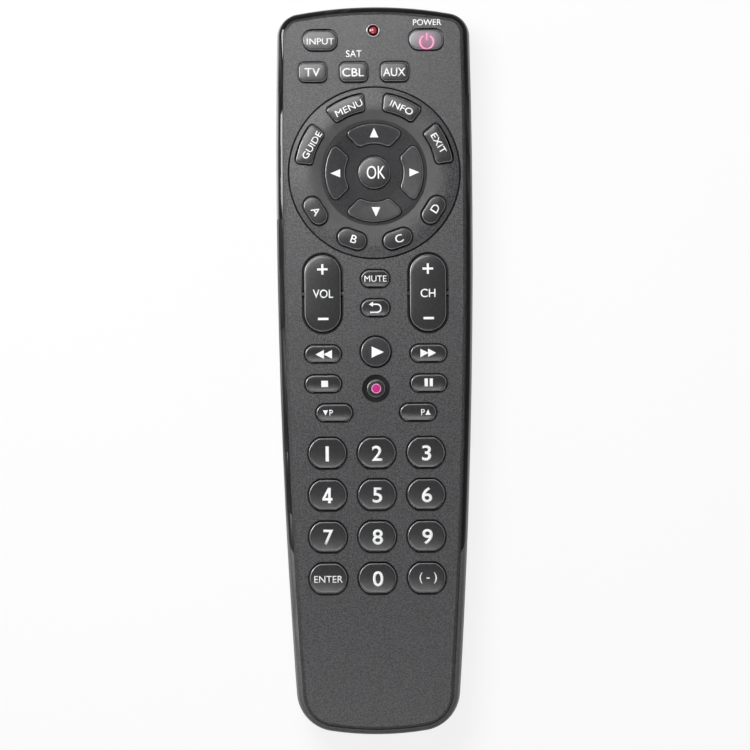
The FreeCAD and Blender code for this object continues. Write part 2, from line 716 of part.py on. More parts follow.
def make_top_cover():
    body = new_body("face_plate")
    plan = sketch_on(body, "face_plan", handset_outline(size("plate_inset")),
                     height="plate_under")
    slab = pad(body, plan, "plate_thickness", "face_pad")
    doc.recompute()
    top = size("plate_top")
    rim_edges = ["Edge%d" % number for number, edge in enumerate(slab.Shape.Edges, 1)
                 if edge.BoundBox.ZMin > top - 0.01]
    bevel = body.newObject("PartDesign::Chamfer", "face_bevel")
    bevel.Base = (slab, rim_edges)
    bind(bevel, "Size", "plate_bevel")
    lip_inset = size("lip_inset")
    lip_plan = handset_outline(lip_inset) + handset_outline(lip_inset + size("lip_width"))
    lip = sketch_on(body, "lip_plan", lip_plan, height="plate_under - lip_depth")
    pad(body, lip, "lip_depth", "lip")
    last_row = size("digit_last_y") - size("digit_height") / 2
    lip_head = last_row - size("flange_reach") - size("lip_clearance")
    free = rectangle(-size("half_width"), size("half_width"), lip_head, size("head_y"))
    pocket(body, sketch_on(body, "lip_end_plan", free, height="plate_under"), "lip_depth", "lip_end")

    low, outer, dish = top - size("plate_thickness") / 2, size("nav_radius"), size("dish_radius")
    crown, crown_at = size("nav_crown"), (outer + dish) / 2
    shoulder = [Vector(dish, low, 0), Vector(dish, top + crown * 0.5, 0), Vector(crown_at - 1.5, top + crown, 0),
                Vector(crown_at + 1.5, top + crown, 0), Vector(outer, top, 0), Vector(outer, low, 0)]
    nav_ring(body, "pad_crown", shoulder, False)
    deep = top - size("dish_depth")
    hollow = [Vector(0, deep, 0), Vector(size("arrow_inner"), deep, 0), Vector(dish, top + crown * 0.5, 0),
              Vector(dish, top + 1, 0), Vector(0, top + 1, 0)]
    nav_ring(body, "dish", hollow, True)
    groove_outer = outer + size("nav_groove")
    bottom = top - size("nav_groove_depth")
    ring = [Vector(outer, bottom, 0), Vector(groove_outer, bottom, 0), Vector(groove_outer, top + 1, 0),
            Vector(outer, top + 1, 0)]
    nav_ring(body, "pad_groove", ring, True)

    gap = size("key_gap")
    holes = []
    for name, key in keys.items():
        grow = size("rocker_gap") if name in rockers else gap
        holes += placed(key["outline"](grow), key["spot"])
    holes += placed(round_outline(size("indicator_radius"), size("indicator_gap")), at(0, size("indicator_y")))
    pocket_through(body, sketch_on(body, "key_holes", holes, height="plate_top"), "key_openings")
    well = placed(round_outline(size("well_radius")), at(0, size("record_y")))
    pocket(body, sketch_on(body, "record_well_plan", well, height="plate_top"), "well_depth", "record_well")
    ring = placed(round_outline(size("indicator_ring")), at(0, size("indicator_y")))
    pocket(body, sketch_on(body, "indicator_ring_plan", ring, height="plate_top"), "indicator_ring_depth",
           "indicator_recess")
    doc.recompute()
    posts = []
    for count, (x, y) in enumerate(post_places()):
        post = rod("post_%d" % count, [x, y, "post_foot_z"], "post_radius",
                   "plate_under - post_foot_z")
        bore = rod("post_bore_%d" % count, [x, y, "post_foot_z - 1"], "screw_radius + screw_gap",
                   "screw_seat_z + screw_length + 2 - post_foot_z")
        posts.append(cut("bored_post_%d" % count, post, bore))
    return fuse("top_cover", [body, *posts])


def post_places():
    return [(side + place + "_post_x", place + "_post_y") for place in ("head", "tail") for side in ("", "-")]


def make_key(name, key):
    rocker = name in rockers
    body = new_body(name + "_cap" if rocker else name)
    under = "plate_under"
    if rocker:
        under += " - rocker_flange_drop"
    rise = {"ok_key": "ok_rise", "record_key": "record_rise"}.get(name, "key_rise")
    cap = sketch_on(body, name + "_outline", key["outline"](0.0), height=under)
    top = pad(body, cap, "plate_top + %s - (%s)" % (rise, under), name + "_crown")
    if name not in arrows:
        bind(top, "TaperAngle", "-key_draft")
    else:
        high = size("plate_top") + size("key_rise")
        inner, outer = size("arrow_inner") - 1, size("arrow_outer") + 1
        slope = [Vector(inner, high - size("arrow_slope"), 0), Vector(outer, high, 0), Vector(outer, high + 1, 0),
                 Vector(inner, high + 1, 0)]
        edges = [Part.LineSegment(start, end) for start, end in zip(slope, slope[1:] + slope[:1])]
        sketch = sketch_on(body, name + "_slope_section", edges, plane="YZ_Plane")
        groove = body.newObject("PartDesign::Groove", name + "_slope")
        groove.Profile = sketch
        groove.ReferenceAxis = (sketch, ["V_Axis"])
        groove.Angle = 360
    width, height = key["flange"]
    low, high = key["middle"] - height / 2, key["middle"] + height / 2
    flange = sketch_on(body, name + "_flange_plan", rectangle(-width / 2, width / 2, low, high),
                       height=under + " - flange_thickness")
    pad(body, flange, "flange_thickness", name + "_flange")
    body.Placement = key["spot"]
    if not rocker:
        return body
    side = "-" if name == "volume_rocker" else ""
    trunnion = rod(name + "_trunnion",
                   [side + "rocker_x - rocker_width / 2 - flange_reach", "rocker_y",
                    "plate_under - rocker_trunnion"],
                   "rocker_trunnion", "rocker_width + 2 * flange_reach", Vector(1, 0, 0))
    return fuse(name, [body, trunnion])


# the zone of the gloss band, seen from the side: level round the head, sweeping up towards the tail
def make_band_zone():
    body = new_body("band_zone")
    low, high, start, end = size("band_low_z"), size("rim_z"), size("band_sweep_start_y"), size("band_end_y")
    run, climb = start - end, high - low
    sweep = (run ** 2 + climb ** 2) / (2 * climb)
    turn = atan2(run, sweep - climb) / 2
    middle = Vector(start - sweep * sin(turn), low + sweep - sweep * cos(turn), 0)
    clear = size("head_y") + size("wall")
    corners = [Vector(end, high, 0), Vector(end, high + 1, 0), Vector(clear, high + 1, 0), Vector(clear, low, 0),
               Vector(start, low, 0)]
    edges = [Part.LineSegment(first, second) for first, second in zip(corners, corners[1:])]
    edges.append(Part.Arc(corners[-1], middle, corners[0]))
    sketch = sketch_on(body, "band_side", edges, plane="YZ_Plane")
    zone = pad(body, sketch, "2 * half_width + 20", "band_width")
    zone.Midplane = True
    return body


def make_case():
    arched = cut("outer_shape", outer_form, finger_arch("outer_arch", "0"))
    hollow = cut("inner_shape", hollow_form, finger_arch("inner_arch", "floor_thickness"))
    seat = new_body("plate_seat")
    seat_plan = sketch_on(seat, "seat_plan", handset_outline(size("plate_inset") - size("parting_gap")),
                          height="plate_under")
    pad(seat, seat_plan, "plate_thickness + 1", "seat_depth")
    shell = cut("open_shell", cut("hollow_shell", arched, hollow), seat)
    skin = common("band_strip", cut("outer_skin", outer_form, band_form), make_band_zone())
    strip = cut("seated_strip", skin, seat)
    window_zone = block("window_zone", ["-ir_window_width / 2", "head_y / 2", "ir_window_low_z"],
                        ["ir_window_width", "head_y", "ir_window_high_z - ir_window_low_z"])
    gloss_band = cut("gloss_band", strip, window_zone)
    ir_window = common("ir_window", strip, window_zone)

    inside = [shell]
    carriers = []
    for count, (x, y) in enumerate(post_places()):
        inner = " - screw_tower_reach" if x.startswith("-") else " - screw_tower_side"
        carriers.append(block("tower_%d" % count, [x + inner, y + " - screw_tower_side", "0"],
                              ["screw_tower_side + screw_tower_reach", "2 * screw_tower_side", "post_foot_z"]))
    for count, side in enumerate(("", "-")):
        carriers.append(block("stand_%d" % count, [side + "stand_x - rib_width / 2", "stand_y", "0"],
                              ["rib_width", "stand_length", "board_bottom"]))
    carriers.append(block("bay_box", ["-bay_half_width - bay_wall", "bay_tail_y - bay_wall", "0"],
                          ["2 * (bay_half_width + bay_wall)", "bay_head_y - bay_tail_y + 2 * bay_wall",
                           "bay_ceiling_z + bay_wall"]))
    for count, place in enumerate(("rib_tail_y", "rib_head_y")):
        carriers.append(block("rib_%d" % count, ["-bay_half_width", place, "bay_ceiling_z"],
                              ["2 * bay_half_width", "rib_width", "board_bottom - bay_ceiling_z"]))
    inside.append(common("carriers", fuse("carrier_set", carriers), arched))
    solid_case = fuse("solid_case", inside)

    cuts = [strip]
    for count, (x, y) in enumerate(post_places()):
        cuts.append(rod("well_%d" % count, [x, y, "-1"], "screw_well_radius", "screw_seat_z + 1"))
        cuts.append(rod("screw_hole_%d" % count, [x, y, "-1"], "screw_radius + screw_gap", "post_foot_z + 2"))
    cuts.append(block("bay_hollow", ["-bay_half_width", "bay_tail_y", "-1"],
                      ["2 * bay_half_width", "bay_head_y - bay_tail_y", "bay_ceiling_z + 1"]))
    door_length = "door_head_y + door_gap - tail_y + 2"
    cuts.append(block("door_opening", ["-door_half_width - door_gap", "tail_y - 2", "-1"],
                      ["2 * (door_half_width + door_gap)", door_length, "door_thickness + door_gap + 1"]))
    cuts.append(block("tongue_slots",
                      ["-door_half_width - door_tongue - door_gap", "tail_y - 2",
                       "door_thickness - door_tongue_thickness - door_gap"],
                      ["2 * (door_half_width + door_tongue + door_gap)", door_length,
                       "door_tongue_thickness + 2 * door_gap"]))
    relief_reach = "top_key_x + top_key_width / 2 + flange_reach + key_gap"
    relief_low = "flange_low - key_travel - key_gap"
    cuts.append(block("head_key_relief", ["-(%s)" % relief_reach, "top_key_y", relief_low],
                      ["2 * (%s)" % relief_reach, "top_key_height / 2 + key_gap", "rim_z - (%s)" % relief_low]))
    cuts.append(block("window_hole",
                      ["window_hole_margin - ir_window_width / 2", "head_y - 2 * wall", "window_hole_low_z"],
                      ["ir_window_width - 2 * window_hole_margin", "3 * wall",
                       "window_hole_high_z - window_hole_low_z"]))
    bottom_cover = cut("bottom_cover", solid_case, fuse("case_cuts", cuts))

    slab = block("door_slab", ["-door_half_width", "tail_y - 1", "-1"],
                 ["2 * door_half_width", "door_head_y - tail_y + 1", "door_thickness + 1"])
    tongues = block("door_tongues", ["-door_half_width - door_tongue", "tail_y - 1",
                                     "door_thickness - door_tongue_thickness"],
                    ["2 * (door_half_width + door_tongue)", "door_head_y - tail_y + 1", "door_tongue_thickness"])
    panel = common("door_panel", arched, fuse("door_blank", [slab, tongues]))
    grips = [block("grip_%d" % count, ["-grip_width / 2", "grip_first_y - %d * grip_pitch" % count, "-1"],
                   ["grip_width", "grip_line", "grip_depth + 1"]) for count in range(int(size("grip_count")))]
    battery_cover = cut("battery_cover", panel, fuse("grip_lines", grips))
    return [gloss_band, ir_window, bottom_cover, battery_cover]


def make_mat():
    top = "board_top"
    sheet_block = block("mat_sheet", ["-board_half_width", "board_tail_y", top],
                        ["2 * board_half_width", "board_head_y - board_tail_y", "mat_thickness"])
    openings = [rod("mat_indicator", ["0", "indicator_y", top + " - 1"], "mat_indicator_hole", "mat_thickness + 2")]
    openings += [rod("mat_notch_%d" % count, [x, y, top + " - 1"], "post_radius + board_notch_gap",
                     "mat_thickness + 2") for count, (x, y) in enumerate(post_places())]
    pads = [cut("notched_mat", sheet_block, fuse("mat_openings", openings))]
    for name, key in keys.items():
        middle = key["spot"].multVec(Vector(0, key["middle"], 0))
        places = [middle]
        high = "flange_low"
        if name in rockers:
            step = Vector(0, size("rocker_pad_y"), 0)
            places = [middle - step, middle + step]
            high += " - rocker_flange_drop"
        for count, place in enumerate(places):
            start = ["%.4f - pad_width / 2" % place.x, "%.4f - pad_height / 2" % place.y, top]
            pads.append(block("%s_pad_%d" % (name, count), start,
                              ["pad_width", "pad_height", "%s - (%s)" % (high, top)]))
    return fuse("keypad_mat", pads)


def make_board():
    plain = block("plain_board", ["-board_half_width", "board_tail_y", "board_bottom"],
                  ["2 * board_half_width", "board_head_y - board_tail_y", "board_thickness"])
    notches = [rod("board_notch_%d" % count, [x, y, "board_bottom - 1"], "post_radius + board_notch_gap",
                   "board_thickness + 2") for count, (x, y) in enumerate(post_places())]
    board = cut("circuit_board", plain, fuse("board_notches", notches))
    chip = block("control_chip", ["-chip_width / 2", "chip_y", "board_bottom - chip_height"],
                 ["chip_width", "chip_width", "chip_height"])
    oscillator = block("oscillator", ["-oscillator_width / 2", "oscillator_y", "board_bottom - oscillator_height"],
                       ["oscillator_width", "oscillator_depth", "oscillator_height"])
    capacitor = rod("capacitor", ["capacitor_x", "capacitor_y", "board_bottom - capacitor_radius"],
                    "capacitor_radius", "capacitor_length", Vector(0, 1, 0))
    return [board, chip, oscillator, capacitor]


def nose(name, start, radius, axis):
    item = doc.addObject("Part::Cone", name)
    item.Placement = Placement(Vector(), Rotation(Vector(0, 0, 1), axis))
    bind(item, "Radius1", radius)
    bind(item, "Radius2", radius + " * nose_share")
    bind(item, "Height", radius + " * nose_share")
    for prop, text in zip("xyz", start):
        bind(item, "Placement.Base." + prop, text)
    return item


def make_lamps():
    shoulder = "plate_top + indicator_rise - indicator_radius * nose_share"
    stem = rod("indicator_stem", ["0", "indicator_y", "board_top"], "indicator_radius",
               "%s - board_top" % shoulder)
    indicator = fuse("indicator_led", [stem, nose("indicator_nose", ["0", "indicator_y", shoulder],
                                                  "indicator_radius", Vector(0, 0, 1))])
    parts = []
    for count, side in enumerate(("-", "")):
        x = side + "emitter_x"
        case = rod("emitter_case_%d" % count, [x, "emitter_back_y", "emitter_z"], "emitter_radius",
                   "emitter_length", Vector(0, 1, 0))
        parts += [case, nose("emitter_nose_%d" % count, [x, "emitter_back_y + emitter_length", "emitter_z"],
                             "emitter_radius", Vector(0, 1, 0))]
        parts.append(block("emitter_lead_%d" % count, [x + " - lead_width / 2", "emitter_back_y - lead_width",
                                                       "emitter_z"],
                           ["lead_width", "2 * lead_width", "board_bottom - emitter_z"]))
    return [indicator, fuse("ir_emitters", parts)]


def make_cell(name, x, way):
    thickness = size("contact_thickness")
    if way > 0:
        start = size("bay_head_y") - thickness - size("cell_nub_length") - size("cell_length")
        nub = start + size("cell_length")
    else:
        nub = size("bay_tail_y") + thickness
        start = nub + size("cell_nub_length")
    can = rod(name + "_can", [x, "%.4f" % start, "cell_z"], "cell_radius", "cell_length", Vector(0, 1, 0))
    button = rod(name + "_button", [x, "%.4f" % nub, "cell_z"], "cell_nub_radius", "cell_nub_length",
                 Vector(0, 1, 0))
    return fuse(name, [can, button])


# a strip of spring metal against the bay's wall, with a bent tongue that reaches the flat end of a cell
def make_leaf(name, x, wall, way):
    thick, low, tall = size("contact_thickness"), size("contact_low_z"), size("contact_height")
    reach = size("leaf_reach")
    middle, bend = size("cell_z"), 0.6
    points = [(0, low), (thick, low), (reach, middle - bend), (reach, middle + bend), (3 * thick, low + 0.9 * tall),
              (2 * thick, low + 0.85 * tall), (reach - thick, middle + bend / 2), (reach - thick, middle - bend / 2),
              (thick, low + 1.3 * thick), (thick, low + tall), (0, low + tall)]
    corners = [Vector(wall + way * y, z, 0) for y, z in points]
    edges = [Part.LineSegment(start, end) for start, end in zip(corners, corners[1:] + corners[:1])]
    body = new_body(name)
    sketch = sketch_on(body, name + "_section", edges, plane="YZ_Plane", height="%s - contact_width / 2" % x)
    pad(body, sketch, "contact_width", name + "_strip")
    return body


def make_contacts():
    negative = make_leaf("negative_contact", "cell_x", size("bay_head_y"), -1)
    positive = block("positive_contact",
                     ["-cell_x - contact_width / 2", "bay_head_y - contact_thickness", "contact_low_z"],
                     ["contact_width", "contact_thickness", "contact_height"])
    leaf = make_leaf("bridge_leaf", "-cell_x", size("bay_tail_y"), 1)
    strap = block("bridge_strap", ["-cell_x - contact_width / 2", "bay_tail_y", "contact_low_z"],
                  ["2 * cell_x + contact_width", "contact_thickness", "contact_height"])
    return [negative, positive, fuse("bridge_contact", [leaf, strap])]


def make_screws():
    parts = []
    for count, (x, y) in enumerate(post_places()):
        parts.append(rod("screw_head_%d" % count, [x, y, "screw_seat_z - screw_head_thickness"],
                         "screw_head_radius", "screw_head_thickness"))
        parts.append(rod("screw_shank_%d" % count, [x, y, "screw_seat_z - 0.5"], "screw_radius",
                         "screw_length + 0.5"))
    return fuse("case_screws", parts)


nodes = [make_top_cover()]
nodes += [make_key(name, key) for name, key in keys.items()]
nodes += make_case()
nodes.append(make_mat())
nodes += make_board()
nodes += make_lamps()
nodes += [make_cell("battery_1", "-cell_x", 1), make_cell("battery_2", "cell_x", -1)]
nodes += make_contacts()
nodes.append(make_screws())
doc.recompute()

failed = [item.Name for item in doc.Objects if "Invalid" in item.State or "Error" in item.State]
for node in nodes:
    node.Label = node.Name
    if node.Shape.isNull() or not node.Shape.isValid() or not node.Shape.Solids:
        failed.append(node.Name)
if failed:
    raise SystemExit("failed: " + ", ".join(failed))

os.makedirs("parts", exist_ok=True)
for node in nodes:
    node.Shape.exportStep("parts/%s.step" % node.Label)
    print(node.Label, len(node.Shape.Solids), "solids", round(node.Shape.Volume, 1), "mm3")
print(len(nodes), "nodes")
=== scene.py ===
import math
import bpy
from mathutils import Matrix, Vector


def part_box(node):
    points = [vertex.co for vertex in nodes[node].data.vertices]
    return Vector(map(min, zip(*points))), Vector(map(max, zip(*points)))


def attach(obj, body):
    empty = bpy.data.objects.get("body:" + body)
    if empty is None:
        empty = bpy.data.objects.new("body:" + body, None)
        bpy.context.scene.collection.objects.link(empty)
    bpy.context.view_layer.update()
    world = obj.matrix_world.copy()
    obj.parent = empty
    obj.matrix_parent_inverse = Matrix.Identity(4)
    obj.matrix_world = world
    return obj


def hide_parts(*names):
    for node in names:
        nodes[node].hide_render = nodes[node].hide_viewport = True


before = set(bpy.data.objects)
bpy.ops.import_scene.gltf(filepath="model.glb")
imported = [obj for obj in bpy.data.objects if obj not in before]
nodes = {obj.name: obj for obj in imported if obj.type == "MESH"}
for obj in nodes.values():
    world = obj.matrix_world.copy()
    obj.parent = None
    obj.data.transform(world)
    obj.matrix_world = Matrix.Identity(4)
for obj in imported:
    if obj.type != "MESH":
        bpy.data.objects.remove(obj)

mm = 0.001
# points nearer than this become one: in a CAD mesh, in a print, in a bar that becomes a line
merge = {"mesh": 0.002 * mm, "print": 0.001 * mm, "line": 0.01 * mm}
flatWithin = math.radians(0.5)  # faces that turn by less from each other are dissolved into one
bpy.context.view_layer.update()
root = "housing"


def clearSelection():
    if bpy.context.mode != "OBJECT":
        bpy.ops.object.mode_set(mode="OBJECT")
    bpy.ops.object.select_all(action="DESELECT")


def only(piece):
    clearSelection()
    piece.select_set(True)
    bpy.context.view_layer.objects.active = piece


def applyAll(piece):
    only(piece)
    for modifier in list(piece.modifiers):
        bpy.ops.object.modifier_apply(modifier=modifier.name)


def smoothByAngle(piece, degrees=30):
    only(piece)
    bpy.ops.object.shade_smooth_by_angle(angle=math.radians(degrees))


def newMaterial(name, baseColor, roughness, **extra):
    material = bpy.data.materials.new(name)
    material.use_nodes = True
    shader = material.node_tree.nodes["Principled BSDF"]
    shader.inputs["Base Color"].default_value = (*baseColor, 1)
    shader.inputs["Roughness"].default_value = roughness
    for label, value in extra.items():
        shader.inputs[label.replace("_", " ")].default_value = value
    return material


# a shared effect: fine moulded grain, as a height, a speckle and a slow cloud of wear
def makeGrainGroup():
    group = bpy.data.node_groups.new("mouldedGrain", "ShaderNodeTree")
    settings = {"Grain Size": 3000.0, "Cloud Size": 25.0}
    for label, value in settings.items():
        socket = group.interface.new_socket(label, in_out="INPUT", socket_type="NodeSocketFloat")
        socket.default_value = value
    for label in ("Height", "Speckle", "Cloud"):
        group.interface.new_socket(label, in_out="OUTPUT", socket_type="NodeSocketFloat")
    make, link = group.nodes.new, group.links.new
    source, result, place = make("NodeGroupInput"), make("NodeGroupOutput"), make("ShaderNodeTexCoord")
    grain, speckle, cloud = (make("ShaderNodeTexNoise") for _ in range(3))
    for noise, detail, rough in ((grain, 2.0, 0.6), (speckle, 1.0, 0.5), (cloud, 4.0, 0.55)):
        noise.inputs["Detail"].default_value = detail
        noise.inputs["Roughness"].default_value = rough
        link(place.outputs["Object"], noise.inputs["Vector"])
    coarser = make("ShaderNodeMath")
    coarser.operation = "MULTIPLY"
    coarser.inputs[1].default_value = 0.55  # the specks against the grain
    link(source.outputs["Grain Size"], grain.inputs["Scale"])
    link(source.outputs["Grain Size"], coarser.inputs[0])
    link(coarser.outputs[0], speckle.inputs["Scale"])
    link(source.outputs["Cloud Size"], cloud.inputs["Scale"])
    link(grain.outputs["Fac"], result.inputs["Height"])
    link(speckle.outputs["Fac"], result.inputs["Speckle"])
    link(cloud.outputs["Fac"], result.inputs["Cloud"])
    return group


grainGroup = makeGrainGroup()


# a moulded plastic: grain in the normal, light and dark specks, and a roughness that drifts
def mouldedPlastic(name, dark, light, roughness, grainSize, bump, speck=0.5, drift=0.08, **extra):
    material = newMaterial(name, dark, roughness, **extra)
    tree = material.node_tree
    shader = tree.nodes["Principled BSDF"]
    grain = tree.nodes.new("ShaderNodeGroup")
    grain.node_tree = grainGroup
    grain.inputs["Grain Size"].default_value = grainSize
    ramp = tree.nodes.new("ShaderNodeMapRange")
    blur = 0.125 / speck  # half the span of noise over which dark turns into light
    ramp.inputs["From Min"].default_value = 0.5 - blur
    ramp.inputs["From Max"].default_value = 0.5 + blur
    tree.links.new(grain.outputs["Speckle"], ramp.inputs["Value"])
    tint = tree.nodes.new("ShaderNodeMix")
    tint.data_type = "RGBA"
    tint.inputs["A"].default_value = (*dark, 1)
    tint.inputs["B"].default_value = (*light, 1)
    tree.links.new(ramp.outputs["Result"], tint.inputs["Factor"])
    tree.links.new(tint.outputs["Result"], shader.inputs["Base Color"])
    gloss = tree.nodes.new("ShaderNodeMapRange")
    gloss.inputs["To Min"].default_value = roughness - drift
    gloss.inputs["To Max"].default_value = roughness + drift
    tree.links.new(grain.outputs["Cloud"], gloss.inputs["Value"])
    tree.links.new(gloss.outputs["Result"], shader.inputs["Roughness"])
    relief = tree.nodes.new("ShaderNodeBump")
    relief.inputs["Strength"].default_value = bump
    relief.inputs["Distance"].default_value = 0.05 * mm  # how deep the grain is
    tree.links.new(grain.outputs["Height"], relief.inputs["Height"])
    tree.links.new(relief.outputs["Normal"], shader.inputs["Normal"])
    return material


# a shared effect: how near a point is to an upright axis, 1 inside the inner radius, 0 outside the outer
def makeNearGroup():
    group = bpy.data.node_groups.new("nearAxis", "ShaderNodeTree")
    for label, kind in (("Middle", "Vector"), ("Inner", "Float"), ("Outer", "Float")):
        group.interface.new_socket(label, in_out="INPUT", socket_type="NodeSocket" + kind)
    group.interface.new_socket("Near", in_out="OUTPUT", socket_type="NodeSocketFloat")
    make, link = group.nodes.new, group.links.new
    source, result, place = make("NodeGroupInput"), make("NodeGroupOutput"), make("ShaderNodeTexCoord")
    level, away, ramp = make("ShaderNodeVectorMath"), make("ShaderNodeVectorMath"), make("ShaderNodeMapRange")
    level.operation = "MULTIPLY"
    level.inputs[1].default_value = (1, 1, 0)
    away.operation = "DISTANCE"
    ramp.interpolation_type = "SMOOTHSTEP"
    ramp.inputs["To Min"].default_value = 1
    ramp.inputs["To Max"].default_value = 0
    link(place.outputs["Object"], level.inputs[0])
    link(level.outputs["Vector"], away.inputs[0])
    link(source.outputs["Middle"], away.inputs[1])
    link(away.outputs["Value"], ramp.inputs["Value"])
    link(source.outputs["Inner"], ramp.inputs["From Min"])
    link(source.outputs["Outer"], ramp.inputs["From Max"])
    link(ramp.outputs["Result"], result.inputs["Near"])
    return group


nearGroup = makeNearGroup()


# mixes another colour into a plastic near an upright axis, and can let it glow there; it paints shade round
# the pad's dish and a glow round the power key's sign
def tintNear(material, middle, inner, outer, color, glow=0.0):
    tree = material.node_tree
    shader = tree.nodes["Principled BSDF"]
    near = tree.nodes.new("ShaderNodeGroup")
    near.node_tree = nearGroup
    near.inputs["Middle"].default_value = (middle.x, middle.y, 0)
    near.inputs["Inner"].default_value = inner * mm
    near.inputs["Outer"].default_value = outer * mm
    blend = tree.nodes.new("ShaderNodeMix")
    blend.data_type = "RGBA"
    blend.inputs["B"].default_value = (*color, 1)
    tree.links.new(near.outputs["Near"], blend.inputs["Factor"])
    tree.links.new(shader.inputs["Base Color"].links[0].from_socket, blend.inputs["A"])
    tree.links.new(blend.outputs["Result"], shader.inputs["Base Color"])
    if glow:
        light = tree.nodes.new("ShaderNodeMix")
        light.data_type = "RGBA"
        light.inputs["A"].default_value = (0, 0, 0, 1)
        light.inputs["B"].default_value = (*color, 1)
        tree.links.new(near.outputs["Near"], light.inputs["Factor"])
        tree.links.new(light.outputs["Result"], shader.inputs["Emission Color"])
        shader.inputs["Emission Strength"].default_value = glow


# the finishes: name, colours of the dark and the light specks, roughness, fineness of the grain, bump
materials = {
    "face": mouldedPlastic("facePlastic", (0.004, 0.004, 0.005), (0.046, 0.046, 0.049), 0.33, 4600, 0.8,
                           speck=1.2, Specular_IOR_Level=0.3),
    "dish": mouldedPlastic("dishPlastic", (0.008, 0.008, 0.009), (0.036, 0.036, 0.038), 0.4, 4600, 0.8,
                           Specular_IOR_Level=0.1),
    "shell": mouldedPlastic("shellPlastic", (0.06, 0.06, 0.062), (0.11, 0.11, 0.113), 0.5, 4000, 0.4,
                            Specular_IOR_Level=0.25),
    "gloss": mouldedPlastic("glossTrim", (0.003, 0.003, 0.0035), (0.005, 0.005, 0.006), 0.08, 900, 0.01,
                            drift=0.02, Specular_IOR_Level=0.12),
    "window": mouldedPlastic("infraredWindow", (0.012, 0.002, 0.004), (0.016, 0.003, 0.005), 0.1, 900, 0.02,
                             drift=0.03, Coat_Weight=0.5),
    "satinGloss": mouldedPlastic("glossTrimSatin", (0.003, 0.003, 0.003), (0.005, 0.005, 0.005), 0.34, 300,
                                0.02, Specular_IOR_Level=0.1),
    "key": mouldedPlastic("keyPlastic", (0.008, 0.008, 0.009), (0.014, 0.014, 0.016), 0.22, 1800, 0.04,
                          drift=0.02, Specular_IOR_Level=0.28),
    "padKey": mouldedPlastic("padKeyPlastic", (0.034, 0.034, 0.036), (0.044, 0.044, 0.046), 0.28, 1800, 0.04,
                             drift=0.02, Specular_IOR_Level=0.09),
    "powerKey": mouldedPlastic("powerKeyPlastic", (0.04, 0.034, 0.046), (0.055, 0.046, 0.06), 0.27, 1800,
                               0.04, drift=0.03),
    # a light finish for the keys' rolled edges: a painted highlight
    "keyRimHighlight": mouldedPlastic("keyRimHighlight", (0.15, 0.15, 0.155), (0.21, 0.21, 0.215), 0.3, 1800, 0.04, drift=0.03),
    "groove": mouldedPlastic("grooveShade", (0.002, 0.002, 0.002), (0.005, 0.005, 0.005), 0.6, 1800, 0.1,
                             Specular_IOR_Level=0.1),
    # a light grey finish for the ring round the lamp: a painted highlight
    "ringHighlight": mouldedPlastic("lampRingHighlight", (0.13, 0.13, 0.14), (0.18, 0.18, 0.19), 0.3, 1500, 0.1,
                            Metallic=0.5),
    "legend": mouldedPlastic("legendInk", (0.88, 0.88, 0.88), (0.93, 0.93, 0.93), 0.5, 1500, 0.1),
    "pinkLegend": mouldedPlastic("pinkLegend", (0.85, 0.25, 0.5), (0.95, 0.4, 0.62), 0.45, 1500, 0.1),
    "magentaDot": mouldedPlastic("magentaDot", (0.46, 0.004, 0.19), (0.56, 0.008, 0.24), 0.4, 1500, 0.1,
                                 Specular_IOR_Level=0.2),
    "redLamp": mouldedPlastic("redLamp", (0.3, 0.004, 0.01), (0.4, 0.008, 0.016), 0.25, 1500, 0.05),
    "lampDark": mouldedPlastic("lampDark", (0.02, 0.003, 0.004), (0.03, 0.005, 0.006), 0.3, 1500, 0.05,
                               Specular_IOR_Level=0.2),
    "mat": mouldedPlastic("matRubber", (0.012, 0.012, 0.012), (0.02, 0.02, 0.02), 0.7, 1500, 0.2),
    "board": mouldedPlastic("boardLaminate", (0.01, 0.09, 0.03), (0.015, 0.12, 0.045), 0.35, 800, 0.1),
    "chip": mouldedPlastic("chipEpoxy", (0.015, 0.015, 0.015), (0.03, 0.03, 0.03), 0.55, 2500, 0.4),
    "can": mouldedPlastic("canMetal", (0.6, 0.6, 0.61), (0.72, 0.72, 0.73), 0.3, 900, 0.1, Metallic=1.0),
    "contact": mouldedPlastic("contactMetal", (0.6, 0.58, 0.54), (0.72, 0.7, 0.66), 0.25, 900, 0.1,
                              Metallic=1.0),
    "screw": mouldedPlastic("screwMetal", (0.12, 0.12, 0.125), (0.2, 0.2, 0.21), 0.35, 900, 0.15,
                            Metallic=1.0),
    "cell": mouldedPlastic("cellJacket", (0.02, 0.05, 0.16), (0.03, 0.07, 0.2), 0.25, 700, 0.05),
    "smoky": mouldedPlastic("smokyEpoxy", (0.03, 0.03, 0.045), (0.04, 0.04, 0.06), 0.12, 700, 0.02),
}
print("materials ready")

nodeFinish = {
    "keypad_mat": "mat", "circuit_board": "board", "control_chip": "chip", "oscillator": "can",
    "capacitor": "can", "positive_contact": "contact", "negative_contact": "contact",
    "bridge_contact": "contact", "case_screws": "screw", "battery_1": "cell", "battery_2": "cell",
    "ir_emitters": "smoky", "ir_window": "window", "gloss_band": "gloss", "bottom_cover": "shell",
    "battery_cover": "shell", "top_cover": "face", "indicator_led": "lampDark",
}


# the middle of a node's top
def middleOf(nodeName):
    low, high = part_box(nodeName)
    return Vector(((low[0] + high[0]) / 2, (low[1] + high[1]) / 2, high[2]))


# painted shade: the face plate is darkened round the round pad's dish, where shade falls; painted glow: a
# pink haze glows round the power key's sign, though the key is no lamp
dishPaintedShade = {"inner": 17.3, "outer": 20.4, "color": (0.008, 0.008, 0.009)}
